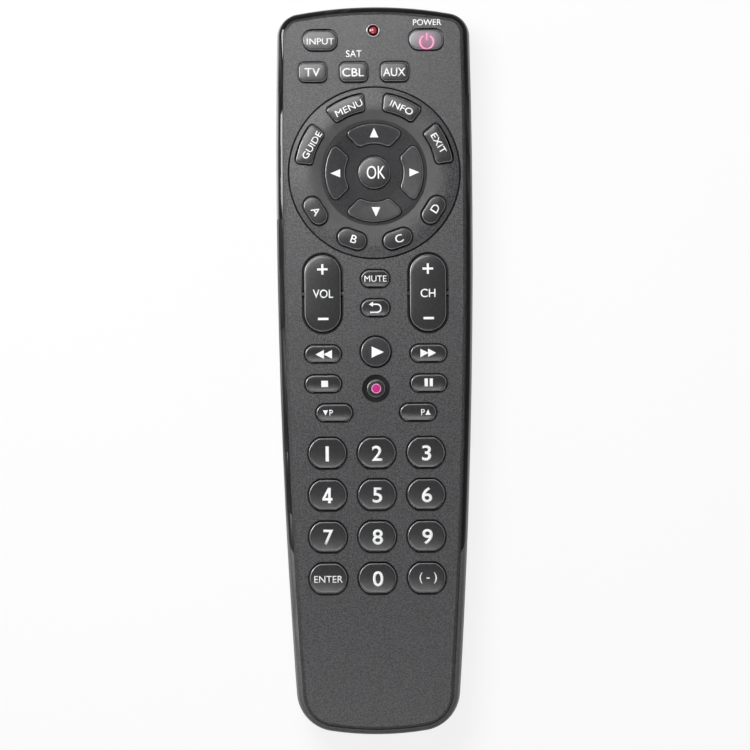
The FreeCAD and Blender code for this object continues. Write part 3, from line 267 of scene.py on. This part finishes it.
# painted glow: pink mixed into the power key's colour and lit up round its sign
powerPaintedGlow = {"inner": 1.6, "outer": 3.4, "color": (0.16, 0.02, 0.08), "glow": 0.3}
padMiddle = middleOf("ok_key")
tintNear(materials["face"], padMiddle, **dishPaintedShade)
tintNear(materials["powerKey"], middleOf("power_key"), **powerPaintedGlow)


# gives a piece its finishes, the first of them on all its faces
def finish(piece, *names):
    piece.data.materials.clear()
    for name in names:
        piece.data.materials.append(materials[name])


for nodeName, node in nodes.items():
    finish(node, nodeFinish.get(nodeName, "key"))


# a copy of a CAD node with its triangles merged, so that it can be worked on
def workingCopy(nodeName, pieceName, dissolve=True):
    source = nodes[nodeName]
    piece = bpy.data.objects.new(pieceName, source.data.copy())
    bpy.context.scene.collection.objects.link(piece)
    piece.matrix_world = source.matrix_world
    only(piece)
    bpy.ops.object.transform_apply(location=True, rotation=True, scale=True)
    if piece.data.has_custom_normals:
        bpy.ops.mesh.customdata_custom_splitnormals_clear()
    bpy.ops.object.mode_set(mode="EDIT")
    bpy.ops.mesh.select_all(action="SELECT")
    bpy.ops.mesh.remove_doubles(threshold=merge["mesh"])
    if dissolve:
        bpy.ops.mesh.dissolve_limited(angle_limit=flatWithin)
    bpy.ops.object.mode_set(mode="OBJECT")
    return piece


def selectFaces(piece, test):
    only(piece)
    bpy.ops.object.mode_set(mode="EDIT")
    bpy.ops.mesh.select_mode(type="FACE")
    bpy.ops.mesh.select_all(action="DESELECT")
    bpy.ops.object.mode_set(mode="OBJECT")
    for face in piece.data.polygons:
        face.select = test(face)
    bpy.ops.object.mode_set(mode="EDIT")


# the keys' tops, in millimetres and degrees
keyCap = {
    "room": 0.04,  # left under the node's own height for the print
    "edgeReach": 0.4,  # half the width of the ellipse that the edge follows
    "edgeRise": 0.36,  # half its height
    "edgeSteps": 5,
    "edgeTurn": 77.4,  # how far the rolled edge turns from upright
    "levelTop": 0.98,  # the least upward part of a top face's normal
    "topSlack": 0.05,  # how far under the highest point a top face may lie
    "arrowSlack": 1.2,  # the same for the arrow keys, whose tops fall away
    "crown": 0.06,  # how far the top rises inside its rolled edge
    "crownSteps": 8,
    "core": 0.12,  # share of the width that stays flat in the middle
    "leastShare": 0.01,  # a step leaves at least this share of the top
    "smooth": 40,
    "rimSteepest": 0.25,  # the upward part of the normals between which an edge gets a painted highlight, for the light its rolled edge catches
    "rimFlattest": 0.92,
    "ownCrown": {"ok_key": 0.12, "play_key": 0.1, "volume_rocker": 0.14, "channel_rocker": 0.14},
    "slantedCrown": 0.13,
    "slant": 3.0,  # by how much such a top falls towards the tail, at slantFrom
    "slantFrom": -68,
    "slantGrowth": 0.04,  # degrees more for each millimetre nearer the head
    "slantDrop": 0.45,  # how far under the flat caps' edges a slanted edge may reach
}
edgeAngle = math.radians(keyCap["edgeTurn"])
slantedNames = ["enter_key", "dash_key", "mute_key", "return_key", "rewind_key", "forward_key", "stop_key",
                "pause_key", "page_down_key", "page_up_key"] + ["digit_key_%d" % digit for digit in range(10)]
keyNames = [name for name in nodes if name.endswith("_key") or "_key_" in name or name.endswith("_rocker")]
arrowNames = ("up_key", "down_key", "left_key", "right_key")
ringNames = ("menu_key", "info_key", "guide_key", "exit_key", "a_key", "b_key", "c_key", "d_key")
keyFinish = {"power_key": "powerKey", **dict.fromkeys(arrowNames + ("play_key",), "padKey")}


def turnAbout(middle, angle):
    return Matrix.Translation(middle) @ Matrix.Rotation(angle, 4, "Z") @ Matrix.Translation(-middle)


def placeAndApply(piece, matrix):
    piece.matrix_world = matrix
    only(piece)
    bpy.ops.object.transform_apply(location=True, rotation=True, scale=True)


# how far a key of the round pad is turned from upright about the pad's middle
def turnOf(nodeName):
    if nodeName not in ringNames + arrowNames:
        return 0.0
    away = middleOf(nodeName) - padMiddle
    return math.atan2(-away.x, away.y)


# the lowest and the highest corner round the selected top
def topCorners(piece):
    corners = [piece.data.vertices[index].co for face in piece.data.polygons if face.select
               for index in face.vertices]
    return [Vector([pick(corner[axis] for corner in corners) for axis in range(3)]) for pick in (min, max)]


# draws the selected top inwards and raises it, which leaves a ring of faces round it
def ringInwards(middle, half, reach, rise):
    share = [max((length - reach) / length, keyCap["leastShare"]) for length in half]
    bpy.ops.mesh.extrude_region_move()
    bpy.ops.transform.resize(value=(share[0], share[1], min(share)), center_override=middle)
    bpy.ops.transform.translate(value=(0, 0, rise))
    middle.z += rise
    return [length - reach for length in half]


# the rolled edge: rings along a part of an ellipse
def rollEdge(middle, half):
    reached = risen = 0.0
    for step in range(1, keyCap["edgeSteps"] + 1):
        angle = edgeAngle * step / keyCap["edgeSteps"]
        inwards = keyCap["edgeReach"] * mm * (1 - math.cos(angle))
        upwards = keyCap["edgeRise"] * mm * math.sin(angle)
        half = ringInwards(middle, half, inwards - reached, upwards - risen)
        reached, risen = inwards, upwards
    return half


# the crown: rings along a shallow parabola, up to the flat core
def raiseCrown(middle, half, crown):
    shortHalf = min(half)
    lastShare = 1.0
    for step in range(1, keyCap["crownSteps"] + 1):
        share = 1 - (1 - keyCap["core"]) * step / keyCap["crownSteps"]
        lift = crown * (lastShare ** 2 - share ** 2) / (1 - keyCap["core"] ** 2)
        half = ringInwards(middle, half, shortHalf * (lastShare - share), lift)
        lastShare = share


# the cap of a key: the node's own outline, with a rolled edge and a crowned top
def crownedKey(nodeName):
    piece = workingCopy(nodeName, nodeName + "_cap", dissolve=False)
    turn = turnOf(nodeName)
    placeAndApply(piece, turnAbout(padMiddle, -turn))
    high = max(vertex.co.z for vertex in piece.data.vertices)
    slack = keyCap["arrowSlack" if nodeName in arrowNames else "topSlack"] * mm
    selectFaces(piece, lambda face: face.normal.z > keyCap["levelTop"] and face.center.z > high - slack)
    bpy.ops.mesh.dissolve_faces()
    bpy.ops.object.mode_set(mode="OBJECT")
    low, top = topCorners(piece)
    middle = (low + top) / 2
    half = [(top.x - low.x) / 2, (top.y - low.y) / 2]
    slanted = nodeName in slantedNames
    crown = (keyCap["slantedCrown"] if slanted else keyCap["ownCrown"].get(nodeName, keyCap["crown"])) * mm
    drop = keyCap["edgeRise"] * mm * math.sin(edgeAngle) + crown + keyCap["room"] * mm
    bpy.ops.object.mode_set(mode="EDIT")
    bpy.ops.transform.translate(value=(0, 0, -drop))  # makes room for the edge and the crown
    middle.z -= drop
    half = rollEdge(middle, half)
    raiseCrown(middle, half, crown)
    bpy.ops.object.mode_set(mode="OBJECT")
    if slanted:
        selectFaces(piece, lambda face: face.center.z > high - drop)
        slant = keyCap["slant"] + keyCap["slantGrowth"] * (middle.y / mm - keyCap["slantFrom"])
        bpy.ops.transform.rotate(value=-math.radians(slant), orient_axis="X",
                                 center_override=(middle.x, top.y, high))
        bpy.ops.object.mode_set(mode="OBJECT")
    placeAndApply(piece, turnAbout(padMiddle, turn))
    smoothByAngle(piece, keyCap["smooth"])
    finish(piece, keyFinish.get(nodeName, "key"), "keyRimHighlight")
    # the rolled edge's faces that turn this way get the lighter finish, a painted highlight
    paintedRimAbove = high - drop - keyCap["slantDrop"] * mm
    for face in piece.data.polygons:
        if face.center.z > paintedRimAbove and keyCap["rimSteepest"] < face.normal.z < keyCap["rimFlattest"]:
            face.material_index = 1
    return piece


caps = {}
for name in keyNames:
    caps[name] = crownedKey(name)
    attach(caps[name], name)
    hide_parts(name)
print("keys ready", len(caps))

# printed legends: shapes drawn flat on the ground, then laid on what they are printed on
ink = {"lift": 0.012, "thickness": 0.02, "cuts": 2, "drawnAt": 60, "fontSize": 10, "letterSteps": 5,
       "arcStep": 9, "discCorners": 40, "lineWidth": 0.001}


def named(name):
    piece = bpy.context.object
    piece.name = name
    piece.data.name = name
    return piece


def joined(pieces, name):
    clearSelection()
    for piece in pieces:
        piece.select_set(True)
    bpy.context.view_layer.objects.active = pieces[0]
    bpy.ops.object.join()
    return named(name)


# a word or a sign of the font, sized to the print's own width and height
def word(text, width, height, bold=0.0):
    clearSelection()
    bpy.ops.object.text_add(location=(0, 0, 0))
    piece = bpy.context.object
    piece.data.body = text
    piece.data.size = ink["fontSize"] * mm
    piece.data.offset = bold * ink["fontSize"] * mm
    piece.data.resolution_u = ink["letterSteps"]
    bpy.ops.object.convert(target="MESH")
    piece = bpy.context.object
    corners = [vertex.co for vertex in piece.data.vertices]
    low = [min(corner[axis] for corner in corners) for axis in range(2)]
    high = [max(corner[axis] for corner in corners) for axis in range(2)]
    piece.scale = (width * mm / (high[0] - low[0]), height * mm / (high[1] - low[1]), 1)
    piece.location = [-(high[axis] + low[axis]) / 2 * piece.scale[axis] for axis in range(2)] + [0]
    only(piece)
    bpy.ops.object.transform_apply(location=True, rotation=True, scale=True)
    return piece


def bar(x, y, width, height):
    clearSelection()
    bpy.ops.mesh.primitive_plane_add(size=1, location=(x * mm, y * mm, 0))
    piece = bpy.context.object
    piece.scale = (width * mm, height * mm, 1)
    bpy.ops.object.transform_apply(location=True, rotation=True, scale=True)
    return piece


# a straight stroke from one point to another
def stroke(fromX, fromY, toX, toY, width):
    piece = bar(0, 0, math.hypot(toX - fromX, toY - fromY), width)
    place = Matrix.Translation(((fromX + toX) / 2 * mm, (fromY + toY) / 2 * mm, 0))
    placeAndApply(piece, place @ Matrix.Rotation(math.atan2(toY - fromY, toX - fromX), 4, "Z"))
    return piece


# a triangle whose tip points along an angle, counted from +X
def triangle(x, y, length, width, degrees):
    clearSelection()
    bpy.ops.mesh.primitive_circle_add(vertices=3, radius=1, fill_type="NGON", rotation=(0, 0, -math.pi / 2))
    piece = bpy.context.object
    bpy.ops.object.transform_apply(location=True, rotation=True, scale=True)
    piece.scale = (length * mm / 1.5, width * mm / math.sqrt(3), 1)
    bpy.ops.object.transform_apply(location=True, rotation=True, scale=True)
    piece.location = (-length * mm / 6, 0, 0)
    bpy.ops.object.transform_apply(location=True, rotation=True, scale=True)
    piece.rotation_euler = (0, 0, math.radians(degrees))
    piece.location = (x * mm, y * mm, 0)
    bpy.ops.object.transform_apply(location=True, rotation=True, scale=True)
    return piece


def disc(x, y, radius):
    clearSelection()
    bpy.ops.mesh.primitive_circle_add(vertices=ink["discCorners"], radius=radius * mm, fill_type="TRIFAN",
                                      location=(x * mm, y * mm, 0))
    piece = bpy.context.object
    bpy.ops.object.transform_apply(location=True, rotation=True, scale=True)
    return piece


# part of a ring, spun from a short line; a positive angle of the spin turns clockwise
def ringPiece(x, y, radius, width, fromDegrees, toDegrees):
    piece = bar(x + radius, y, width, ink["lineWidth"])
    only(piece)
    bpy.ops.object.mode_set(mode="EDIT")
    bpy.ops.mesh.select_all(action="SELECT")
    bpy.ops.mesh.remove_doubles(threshold=merge["line"])
    bpy.ops.object.mode_set(mode="OBJECT")
    middle = Vector((x * mm, y * mm, 0))
    placeAndApply(piece, turnAbout(middle, math.radians(fromDegrees)))
    bpy.ops.object.mode_set(mode="EDIT")
    bpy.ops.mesh.select_all(action="SELECT")
    steps = int((toDegrees - fromDegrees) / ink["arcStep"])
    bpy.ops.mesh.spin(steps=steps, angle=math.radians(fromDegrees - toDegrees), center=middle, axis=(0, 0, 1))
    bpy.ops.object.mode_set(mode="OBJECT")
    return piece


# lays a flat print on a surface: it is cut finer, projected down and given its thickness
def printOn(piece, target, name, x, y, degrees=0.0, finishName="legend", body=None):
    only(piece)
    bpy.ops.object.mode_set(mode="EDIT")
    bpy.ops.mesh.select_all(action="SELECT")
    bpy.ops.mesh.remove_doubles(threshold=merge["print"])
    bpy.ops.mesh.quads_convert_to_tris()
    bpy.ops.mesh.subdivide(number_cuts=ink["cuts"])
    bpy.ops.mesh.normals_make_consistent(inside=False)
    bpy.ops.object.mode_set(mode="OBJECT")
    if piece.data.polygons[0].normal.z < 0:
        bpy.ops.object.mode_set(mode="EDIT")
        bpy.ops.mesh.flip_normals()
        bpy.ops.object.mode_set(mode="OBJECT")
    above = Matrix.Translation((x * mm, y * mm, ink["drawnAt"] * mm))
    placeAndApply(piece, above @ Matrix.Rotation(math.radians(degrees), 4, "Z"))
    wrap = piece.modifiers.new("lay", "SHRINKWRAP")
    wrap.target = target
    wrap.wrap_method = "PROJECT"
    wrap.use_project_z = True
    wrap.use_negative_direction = True
    wrap.use_positive_direction = False
    wrap.offset = ink["lift"] * mm
    thick = piece.modifiers.new("thickness", "SOLIDIFY")
    thick.thickness = ink["thickness"] * mm
    thick.offset = 1
    applyAll(piece)
    named(name)
    finish(piece, finishName)
    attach(piece, body)


def keyMiddle(nodeName):
    middle = middleOf(nodeName)
    return middle.x / mm, middle.y / mm


# words: text, width, height, place from the key's middle, turn in degrees and how bold
keyWords = {
    "input_key": ("INPUT", 8.0, 1.9, 0.1, 0.1, 0, 0.006),
    "device_key_1": ("TV", 4.5, 2.5, -0.1, 0.0, 0, 0.008),
    "device_key_2": ("CBL", 6.4, 2.5, -0.15, -0.1, 0, 0.008),
    "device_key_3": ("AUX", 6.6, 2.5, -0.1, -0.1, 0, 0.008),
    "ok_key": ("OK", 5.4, 3.8, 0.5, 0.1, 0, 0.0),
    "volume_rocker": ("VOL", 6.0, 2.5, 0.15, -0.1, 0, 0.008),
    "channel_rocker": ("CH", 4.4, 2.5, 0.0, -0.1, 0, 0.008),
    "mute_key": ("MUTE", 6.5, 1.8, 0.1, 0.0, 0, 0.0),
    "enter_key": ("ENTER", 8.4, 2.0, 0.05, -0.15, 0, 0.002),
    "dash_key": ("( - )", 5.1, 3.3, 0.4, 0.05, 0, 0.0),
}
# the digits: width and place across the key
digitForm = {0: (3.1, 0.15), 2: (3.05, 0.15), 3: (2.7, 0.25), 5: (2.85, 0.15), 6: (3.05, 0.25),
             7: (2.95, 0.1), 8: (3.1, 0.15), 9: (3.1, 0.3)}
digitLine = {"height": 4.5, "shiftY": -0.1, "bold": 0.014}
for digit, (width, shiftX) in digitForm.items():
    keyWords["digit_key_%d" % digit] = (str(digit), width, digitLine["height"], shiftX, digitLine["shiftY"],
                                        0, digitLine["bold"])

# the words of the round pad lie along their keys
padWords = {
    "menu_key": ("MENU", 8.5, 1.9, 0.3, 0.65, 25.0, 0.0),
    "info_key": ("INFO", 7.1, 1.95, 0.6, 0.65, -25.0, 0.008),
    "guide_key": ("GUIDE", 8.9, 1.95, 0.0, 0.45, 58.5, 0.008),
    "exit_key": ("EXIT", 6.4, 1.95, 0.75, 0.7, -60.0, 0.008),
    "a_key": ("A", 2.4, 2.3, 0.15, -0.1, -57.4, 0.006),
    "b_key": ("B", 1.75, 2.35, 0.55, 0.0, -19.0, 0.006),
    "c_key": ("C", 2.3, 2.35, 0.4, 0.05, 19.0, 0.006),
    "d_key": ("D", 2.35, 2.3, 0.45, 0.45, 57.4, 0.006),
}
for nodeName, (text, width, height, shiftX, shiftY, degrees, bold) in (keyWords | padWords).items():
    x, y = keyMiddle(nodeName)
    printOn(word(text, width, height, bold), caps[nodeName], nodeName + "_print", x + shiftX, y + shiftY,
            degrees, body=nodeName)
print("words ready")

# signs: each key's own list of flat shapes
signs = {
    "up_key": lambda: [triangle(0, 0, 2.8, 2.5, 90)],
    "down_key": lambda: [triangle(0.4, 0.25, 2.8, 2.5, -90)],
    "left_key": lambda: [triangle(0.3, -0.1, 2.9, 2.4, 180)],
    "right_key": lambda: [triangle(0, 0, 2.9, 2.4, 0)],
    "play_key": lambda: [triangle(0.6, -0.1, 3.6, 3.3, 0)],
    "rewind_key": lambda: [triangle(-1.0, -0.1, 2.5, 2.6, 180), triangle(1.4, -0.1, 2.5, 2.6, 180)],
    "forward_key": lambda: [triangle(-1.2, 0.1, 2.4, 2.5, 0), triangle(1.05, 0.1, 2.4, 2.5, 0)],
    "stop_key": lambda: [bar(0.4, 0, 2.0, 1.85)],
    "pause_key": lambda: [bar(-0.75, 0.2, 0.95, 2.35), bar(0.75, 0.2, 0.95, 2.35)],
    "digit_key_1": lambda: [bar(-0.05, -0.15, 0.95, 4.5)],
    "digit_key_4": lambda: [bar(0.5, -0.1, 0.8, 4.5), bar(-0.1, -1.2, 3.0, 0.75),
                            stroke(-1.3, -1.15, 0.35, 1.95, 0.7)],
    "return_key": lambda: [bar(-0.55, -1.3, 2.0, 0.4), bar(-0.2, 1.05, 1.3, 0.4),
                           triangle(-1.3, 1.05, 1.2, 1.5, 180), ringPiece(0.45, -0.12, 1.18, 0.4, -90, 90)],
}
arrowSignReach = 11.8  # from the pad's middle
for nodeName, draw in signs.items():
    middle = middleOf(nodeName)
    if nodeName in arrowNames:
        middle = padMiddle + (middle - padMiddle).to_2d().normalized().to_3d() * arrowSignReach * mm
    x, y = middle.x / mm, middle.y / mm
    printOn(joined(draw(), nodeName + "_print"), caps[nodeName], nodeName + "_print", x, y, body=nodeName)

# the rockers: a plus from a bar and two arms, and a minus
plusSign = {"y": 7.1, "length": 3.1, "stroke": 0.6, "arm": 1.24, "armAway": 0.92}
minusSign = {"x": 0.15, "y": -7.5, "length": 3.1, "stroke": 0.72}
for nodeName in ("volume_rocker", "channel_rocker"):
    x, y = keyMiddle(nodeName)
    bars = [bar(0, plusSign["y"], plusSign["length"], plusSign["stroke"])]
    for away in (plusSign["armAway"], -plusSign["armAway"]):
        bars.append(bar(0, plusSign["y"] + away, plusSign["stroke"], plusSign["arm"]))
    bars.append(bar(minusSign["x"], minusSign["y"], minusSign["length"], minusSign["stroke"]))
    printOn(joined(bars, nodeName + "_signs"), caps[nodeName], nodeName + "_signs", x, y, body=nodeName)

# the page keys: where the letter and the triangle stand, and the way the triangle points
pageSigns = {"page_down_key": (-0.9, -2.6, -90), "page_up_key": (1.4, 2.9, 90)}
pageLetter = ("P", 1.1, 1.8, 0.008)
pageTriangle = {"x": 0, "y": 0, "length": 1.6, "width": 1.5}
for nodeName, (letterX, triangleX, way) in pageSigns.items():
    x, y = keyMiddle(nodeName)
    printOn(word(*pageLetter), caps[nodeName], nodeName + "_print", x + letterX, y, body=nodeName)
    printOn(triangle(**pageTriangle, degrees=way), caps[nodeName], nodeName + "_sign", x + triangleX, y,
            body=nodeName)

# the power key: a bar in a ring that is open at the top and ends this many degrees above the level
powerSign = {"shiftX": 0.1, "shiftY": -0.3, "ring": 2.0, "stroke": 0.45, "ends": 62, "barY": 1.55,
             "barHeight": 2.2}
x, y = keyMiddle("power_key")
powerRing = ringPiece(0, 0, powerSign["ring"], powerSign["stroke"], 180 - powerSign["ends"],
                      360 + powerSign["ends"])
powerBar = bar(0, powerSign["barY"], powerSign["stroke"], powerSign["barHeight"])
power = joined([powerRing, powerBar], "power_key_print")
printOn(power, caps["power_key"], "power_key_print", x + powerSign["shiftX"], y + powerSign["shiftY"],
        finishName="pinkLegend", body="power_key")

# the record key: a dot in a ring
recordSign = {"shiftX": 0.05, "dot": 1.15, "ring": 1.3, "stroke": 0.22}
x, y = keyMiddle("record_key")
recordDot = disc(0, 0, recordSign["dot"])
printOn(recordDot, caps["record_key"], "record_key_print", x + recordSign["shiftX"], y,
        finishName="magentaDot", body="record_key")
recordRing = ringPiece(0, 0, recordSign["ring"], recordSign["stroke"], 0, 360)
printOn(recordRing, caps["record_key"], "record_key_ring", x + recordSign["shiftX"], y,
        finishName="pinkLegend", body="record_key")
print("signs ready")

shells = {}
skinSlots = {"top_cover": "face_plastic", "bottom_cover": "shell_plastic", "gloss_band": "gloss_trim",
             "battery_cover": "shell_plastic", "ir_window": "infrared_window"}
for name in skinSlots:
    shells[name] = workingCopy(name, name + "_skin")
    smoothByAngle(shells[name])
    finish(shells[name], nodeFinish[name])
    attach(shells[name], "battery_cover" if name == "battery_cover" else root)
    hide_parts(name)

# the gloss ends before the band does: behind this slanting plane the band is matt like the shell,
# and before it only the left of the head mirrors sharply
matt = {"fromY": -14, "fromZ": 11, "toY": -57, "toZ": 26}
mirror = {"toX": -24, "fromY": 45}
along = Vector((0, matt["toY"] - matt["fromY"], matt["toZ"] - matt["fromZ"])).normalized()
mattNormal = Vector((0, along.z, -along.y))
mattPlace = Vector((0, matt["fromY"], matt["fromZ"])) * mm
band = shells["gloss_band"]
bandCuts = ((mattPlace, mattNormal), ((0, mirror["fromY"] * mm, 0), (0, 1, 0)),
            ((mirror["toX"] * mm, 0, 0), (1, 0, 0)))
for place, normal in bandCuts:
    selectFaces(band, lambda face: True)
    bpy.ops.mesh.bisect(plane_co=place, plane_no=normal)
    bpy.ops.object.mode_set(mode="OBJECT")
finish(band, "gloss", "shell", "satinGloss")
for face in band.data.polygons:
    mirrors = face.center.x < mirror["toX"] * mm and face.center.y > mirror["fromY"] * mm
    face.material_index = 0 if mirrors else 2
    if (face.center - mattPlace).dot(mattNormal) < 0:
        face.material_index = 1

# the lamp: a light grey ring in its countersink, a painted highlight for the light that the bevel catches,
# and a flattened red bead
lampPlace = {"ring": 1.8, "wire": 0.26, "bead": 1.1, "sunk": 0.12, "beadHeight": 0.4, "smooth": 60}
lampTop = middleOf("indicator_led")
clearSelection()
bpy.ops.mesh.primitive_torus_add(major_radius=lampPlace["ring"] * mm, minor_radius=lampPlace["wire"] * mm,
                                 major_segments=48, minor_segments=12)
ringHighlight = named("lampRingHighlight")
placeAndApply(ringHighlight, Matrix.Translation(lampTop - Vector((0, 0, lampPlace["sunk"] * mm))))
smoothByAngle(ringHighlight, lampPlace["smooth"])
finish(ringHighlight, "ringHighlight")
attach(ringHighlight, root)
clearSelection()
bpy.ops.mesh.primitive_uv_sphere_add(segments=32, ring_count=16, radius=lampPlace["bead"] * mm)
bead = named("lampBead")
placeAndApply(bead, Matrix.Translation(lampTop) @ Matrix.Diagonal((1, 1, lampPlace["beadHeight"], 1)))
smoothByAngle(bead, lampPlace["smooth"])
finish(bead, "redLamp")
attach(bead, root)

# the pad's dish is duller, and the groove round the pad and the record key's well lie in the shade
shadeReach = {"grooveInner": 24.95, "grooveOuter": 25.65, "well": 4.2, "dish": 16.0}
skin = shells["top_cover"]
recordMiddle = middleOf("record_key")
finish(skin, "face", "groove", "dish")
for face in skin.data.polygons:
    corners = [skin.data.vertices[index].co for index in face.vertices]
    fromPad = [(corner - padMiddle).to_2d().length / mm for corner in corners]
    fromRecord = [(corner - recordMiddle).to_2d().length / mm for corner in corners]
    inGroove = shadeReach["grooveInner"] < min(fromPad) and max(fromPad) < shadeReach["grooveOuter"]
    if inGroove or max(fromRecord) < shadeReach["well"]:
        face.material_index = 1
    elif max(fromPad) < shadeReach["dish"]:
        face.material_index = 2

# words on the face plate: text, width, height and place
faceWords = {"powerWord": ("POWER", 8.4, 1.8, 15.95, 102.6), "deviceWord": ("SAT", 4.65, 2.05, -5.75, 93.5)}
faceWordBold = 0.006
for name, (text, width, height, x, y) in faceWords.items():
    printOn(word(text, width, height, faceWordBold), skin, name, x, y, body=root)
print("shells ready")


# 1 where the camera, a mirror or glass looks, and 0 for the light that falls on other things
def seenDirectly(tree):
    path = tree.nodes.new("ShaderNodeLightPath")
    seen = path.outputs["Is Camera Ray"]
    for label in ("Is Glossy Ray", "Is Transmission Ray"):
        either = tree.nodes.new("ShaderNodeMath")
        either.operation = "MAXIMUM"
        tree.links.new(seen, either.inputs[0])
        tree.links.new(path.outputs[label], either.inputs[1])
        seen = either.outputs[0]
    return seen


# the floor takes the object's shadow, and is mixed with a white glow where it is seen directly
floorSetup = {"size": 6, "color": (0.9, 0.9, 0.9, 1), "roughness": 0.8, "glowShare": 0.85}
clearSelection()
bpy.ops.mesh.primitive_plane_add(size=floorSetup["size"], location=(0, 0, 0))
floor = named("floor")
floorMaterial = bpy.data.materials.new("paleFloor")
floorMaterial.use_nodes = True
floorTree = floorMaterial.node_tree
floorShader = floorTree.nodes["Principled BSDF"]
floorShader.inputs["Base Color"].default_value = floorSetup["color"]
floorShader.inputs["Roughness"].default_value = floorSetup["roughness"]
floorGlow = floorTree.nodes.new("ShaderNodeEmission")
floorGlow.inputs["Color"].default_value = (1, 1, 1, 1)
floorMix = floorTree.nodes.new("ShaderNodeMixShader")
floorShare = floorTree.nodes.new("ShaderNodeMath")
floorShare.operation = "MULTIPLY"
floorShare.inputs[1].default_value = floorSetup["glowShare"]
floorTree.links.new(seenDirectly(floorTree), floorShare.inputs[0])
floorTree.links.new(floorShare.outputs[0], floorMix.inputs[0])
floorTree.links.new(floorShader.outputs[0], floorMix.inputs[1])
floorTree.links.new(floorGlow.outputs[0], floorMix.inputs[2])
floorTree.links.new(floorMix.outputs[0], floorTree.nodes["Material Output"].inputs["Surface"])
floor.data.materials.append(floorMaterial)

# the sky is white where it is seen and gives little light
skySetup = {"color": (0.8, 0.8, 0.82, 1), "strength": 0.2}
world = bpy.data.worlds.new("studio")
bpy.context.scene.world = world
world.use_nodes = True
worldTree = world.node_tree
sky = worldTree.nodes["Background"]
sky.inputs["Color"].default_value = skySetup["color"]
sky.inputs["Strength"].default_value = skySetup["strength"]
white = worldTree.nodes.new("ShaderNodeBackground")
white.inputs["Color"].default_value = (1, 1, 1, 1)
worldMix = worldTree.nodes.new("ShaderNodeMixShader")
worldTree.links.new(seenDirectly(worldTree), worldMix.inputs[0])
worldTree.links.new(sky.outputs[0], worldMix.inputs[1])
worldTree.links.new(white.outputs[0], worldMix.inputs[2])
worldTree.links.new(worldMix.outputs[0], worldTree.nodes["World Output"].inputs["Surface"])

# one lamp lights the object, the others only show in what mirrors them
lamps = {
    "head": {"place": (-0.105, 0.185, 0.5), "size": (0.22, 0.21), "power": 2.6},
    "tail": {"place": (-0.03, -0.29, 0.6), "size": (0.35, 0.14), "power": 1.6, "mirrorOnly": True},
    "leftCard": {"place": (-0.5, 0.18, 0.3), "size": (0.26, 0.26), "power": 11, "mirrorOnly": True},
}
for lampName, lamp in lamps.items():
    data = bpy.data.lights.new(lampName + "Lamp", "AREA")
    data.shape = "RECTANGLE"
    data.size, data.size_y = lamp["size"]
    data.energy = lamp["power"]
    light = bpy.data.objects.new(lampName + "Lamp", data)
    light.location = lamp["place"]
    light.rotation_euler = (-Vector(lamp["place"])).to_track_quat("-Z", "Y").to_euler()
    light.visible_diffuse = not lamp.get("mirrorOnly", False)
    bpy.context.scene.collection.objects.link(light)

# the camera looks straight down, as the photo does
cameraSetup = {
    "distance": 1.2,
    "aim": (-0.28 * mm, -1.26 * mm, 14 * mm),
    "roll": -0.0082,  # radians
    "frameWidth": 223.3 * mm,
    "sensor": 36.0,
}
cameraData = bpy.data.cameras.new("camera")
cameraData.sensor_width = cameraSetup["sensor"]
cameraData.lens = cameraSetup["sensor"] * cameraSetup["distance"] / cameraSetup["frameWidth"]
camera = bpy.data.objects.new("camera", cameraData)
aim = Vector(cameraSetup["aim"])
camera.location = aim + Vector((0, 0, cameraSetup["distance"]))
camera.rotation_euler = (0, 0, cameraSetup["roll"])
bpy.context.scene.collection.objects.link(camera)
bpy.context.scene.camera = camera
bpy.context.scene.view_settings.view_transform = "Standard"
print("stage ready")
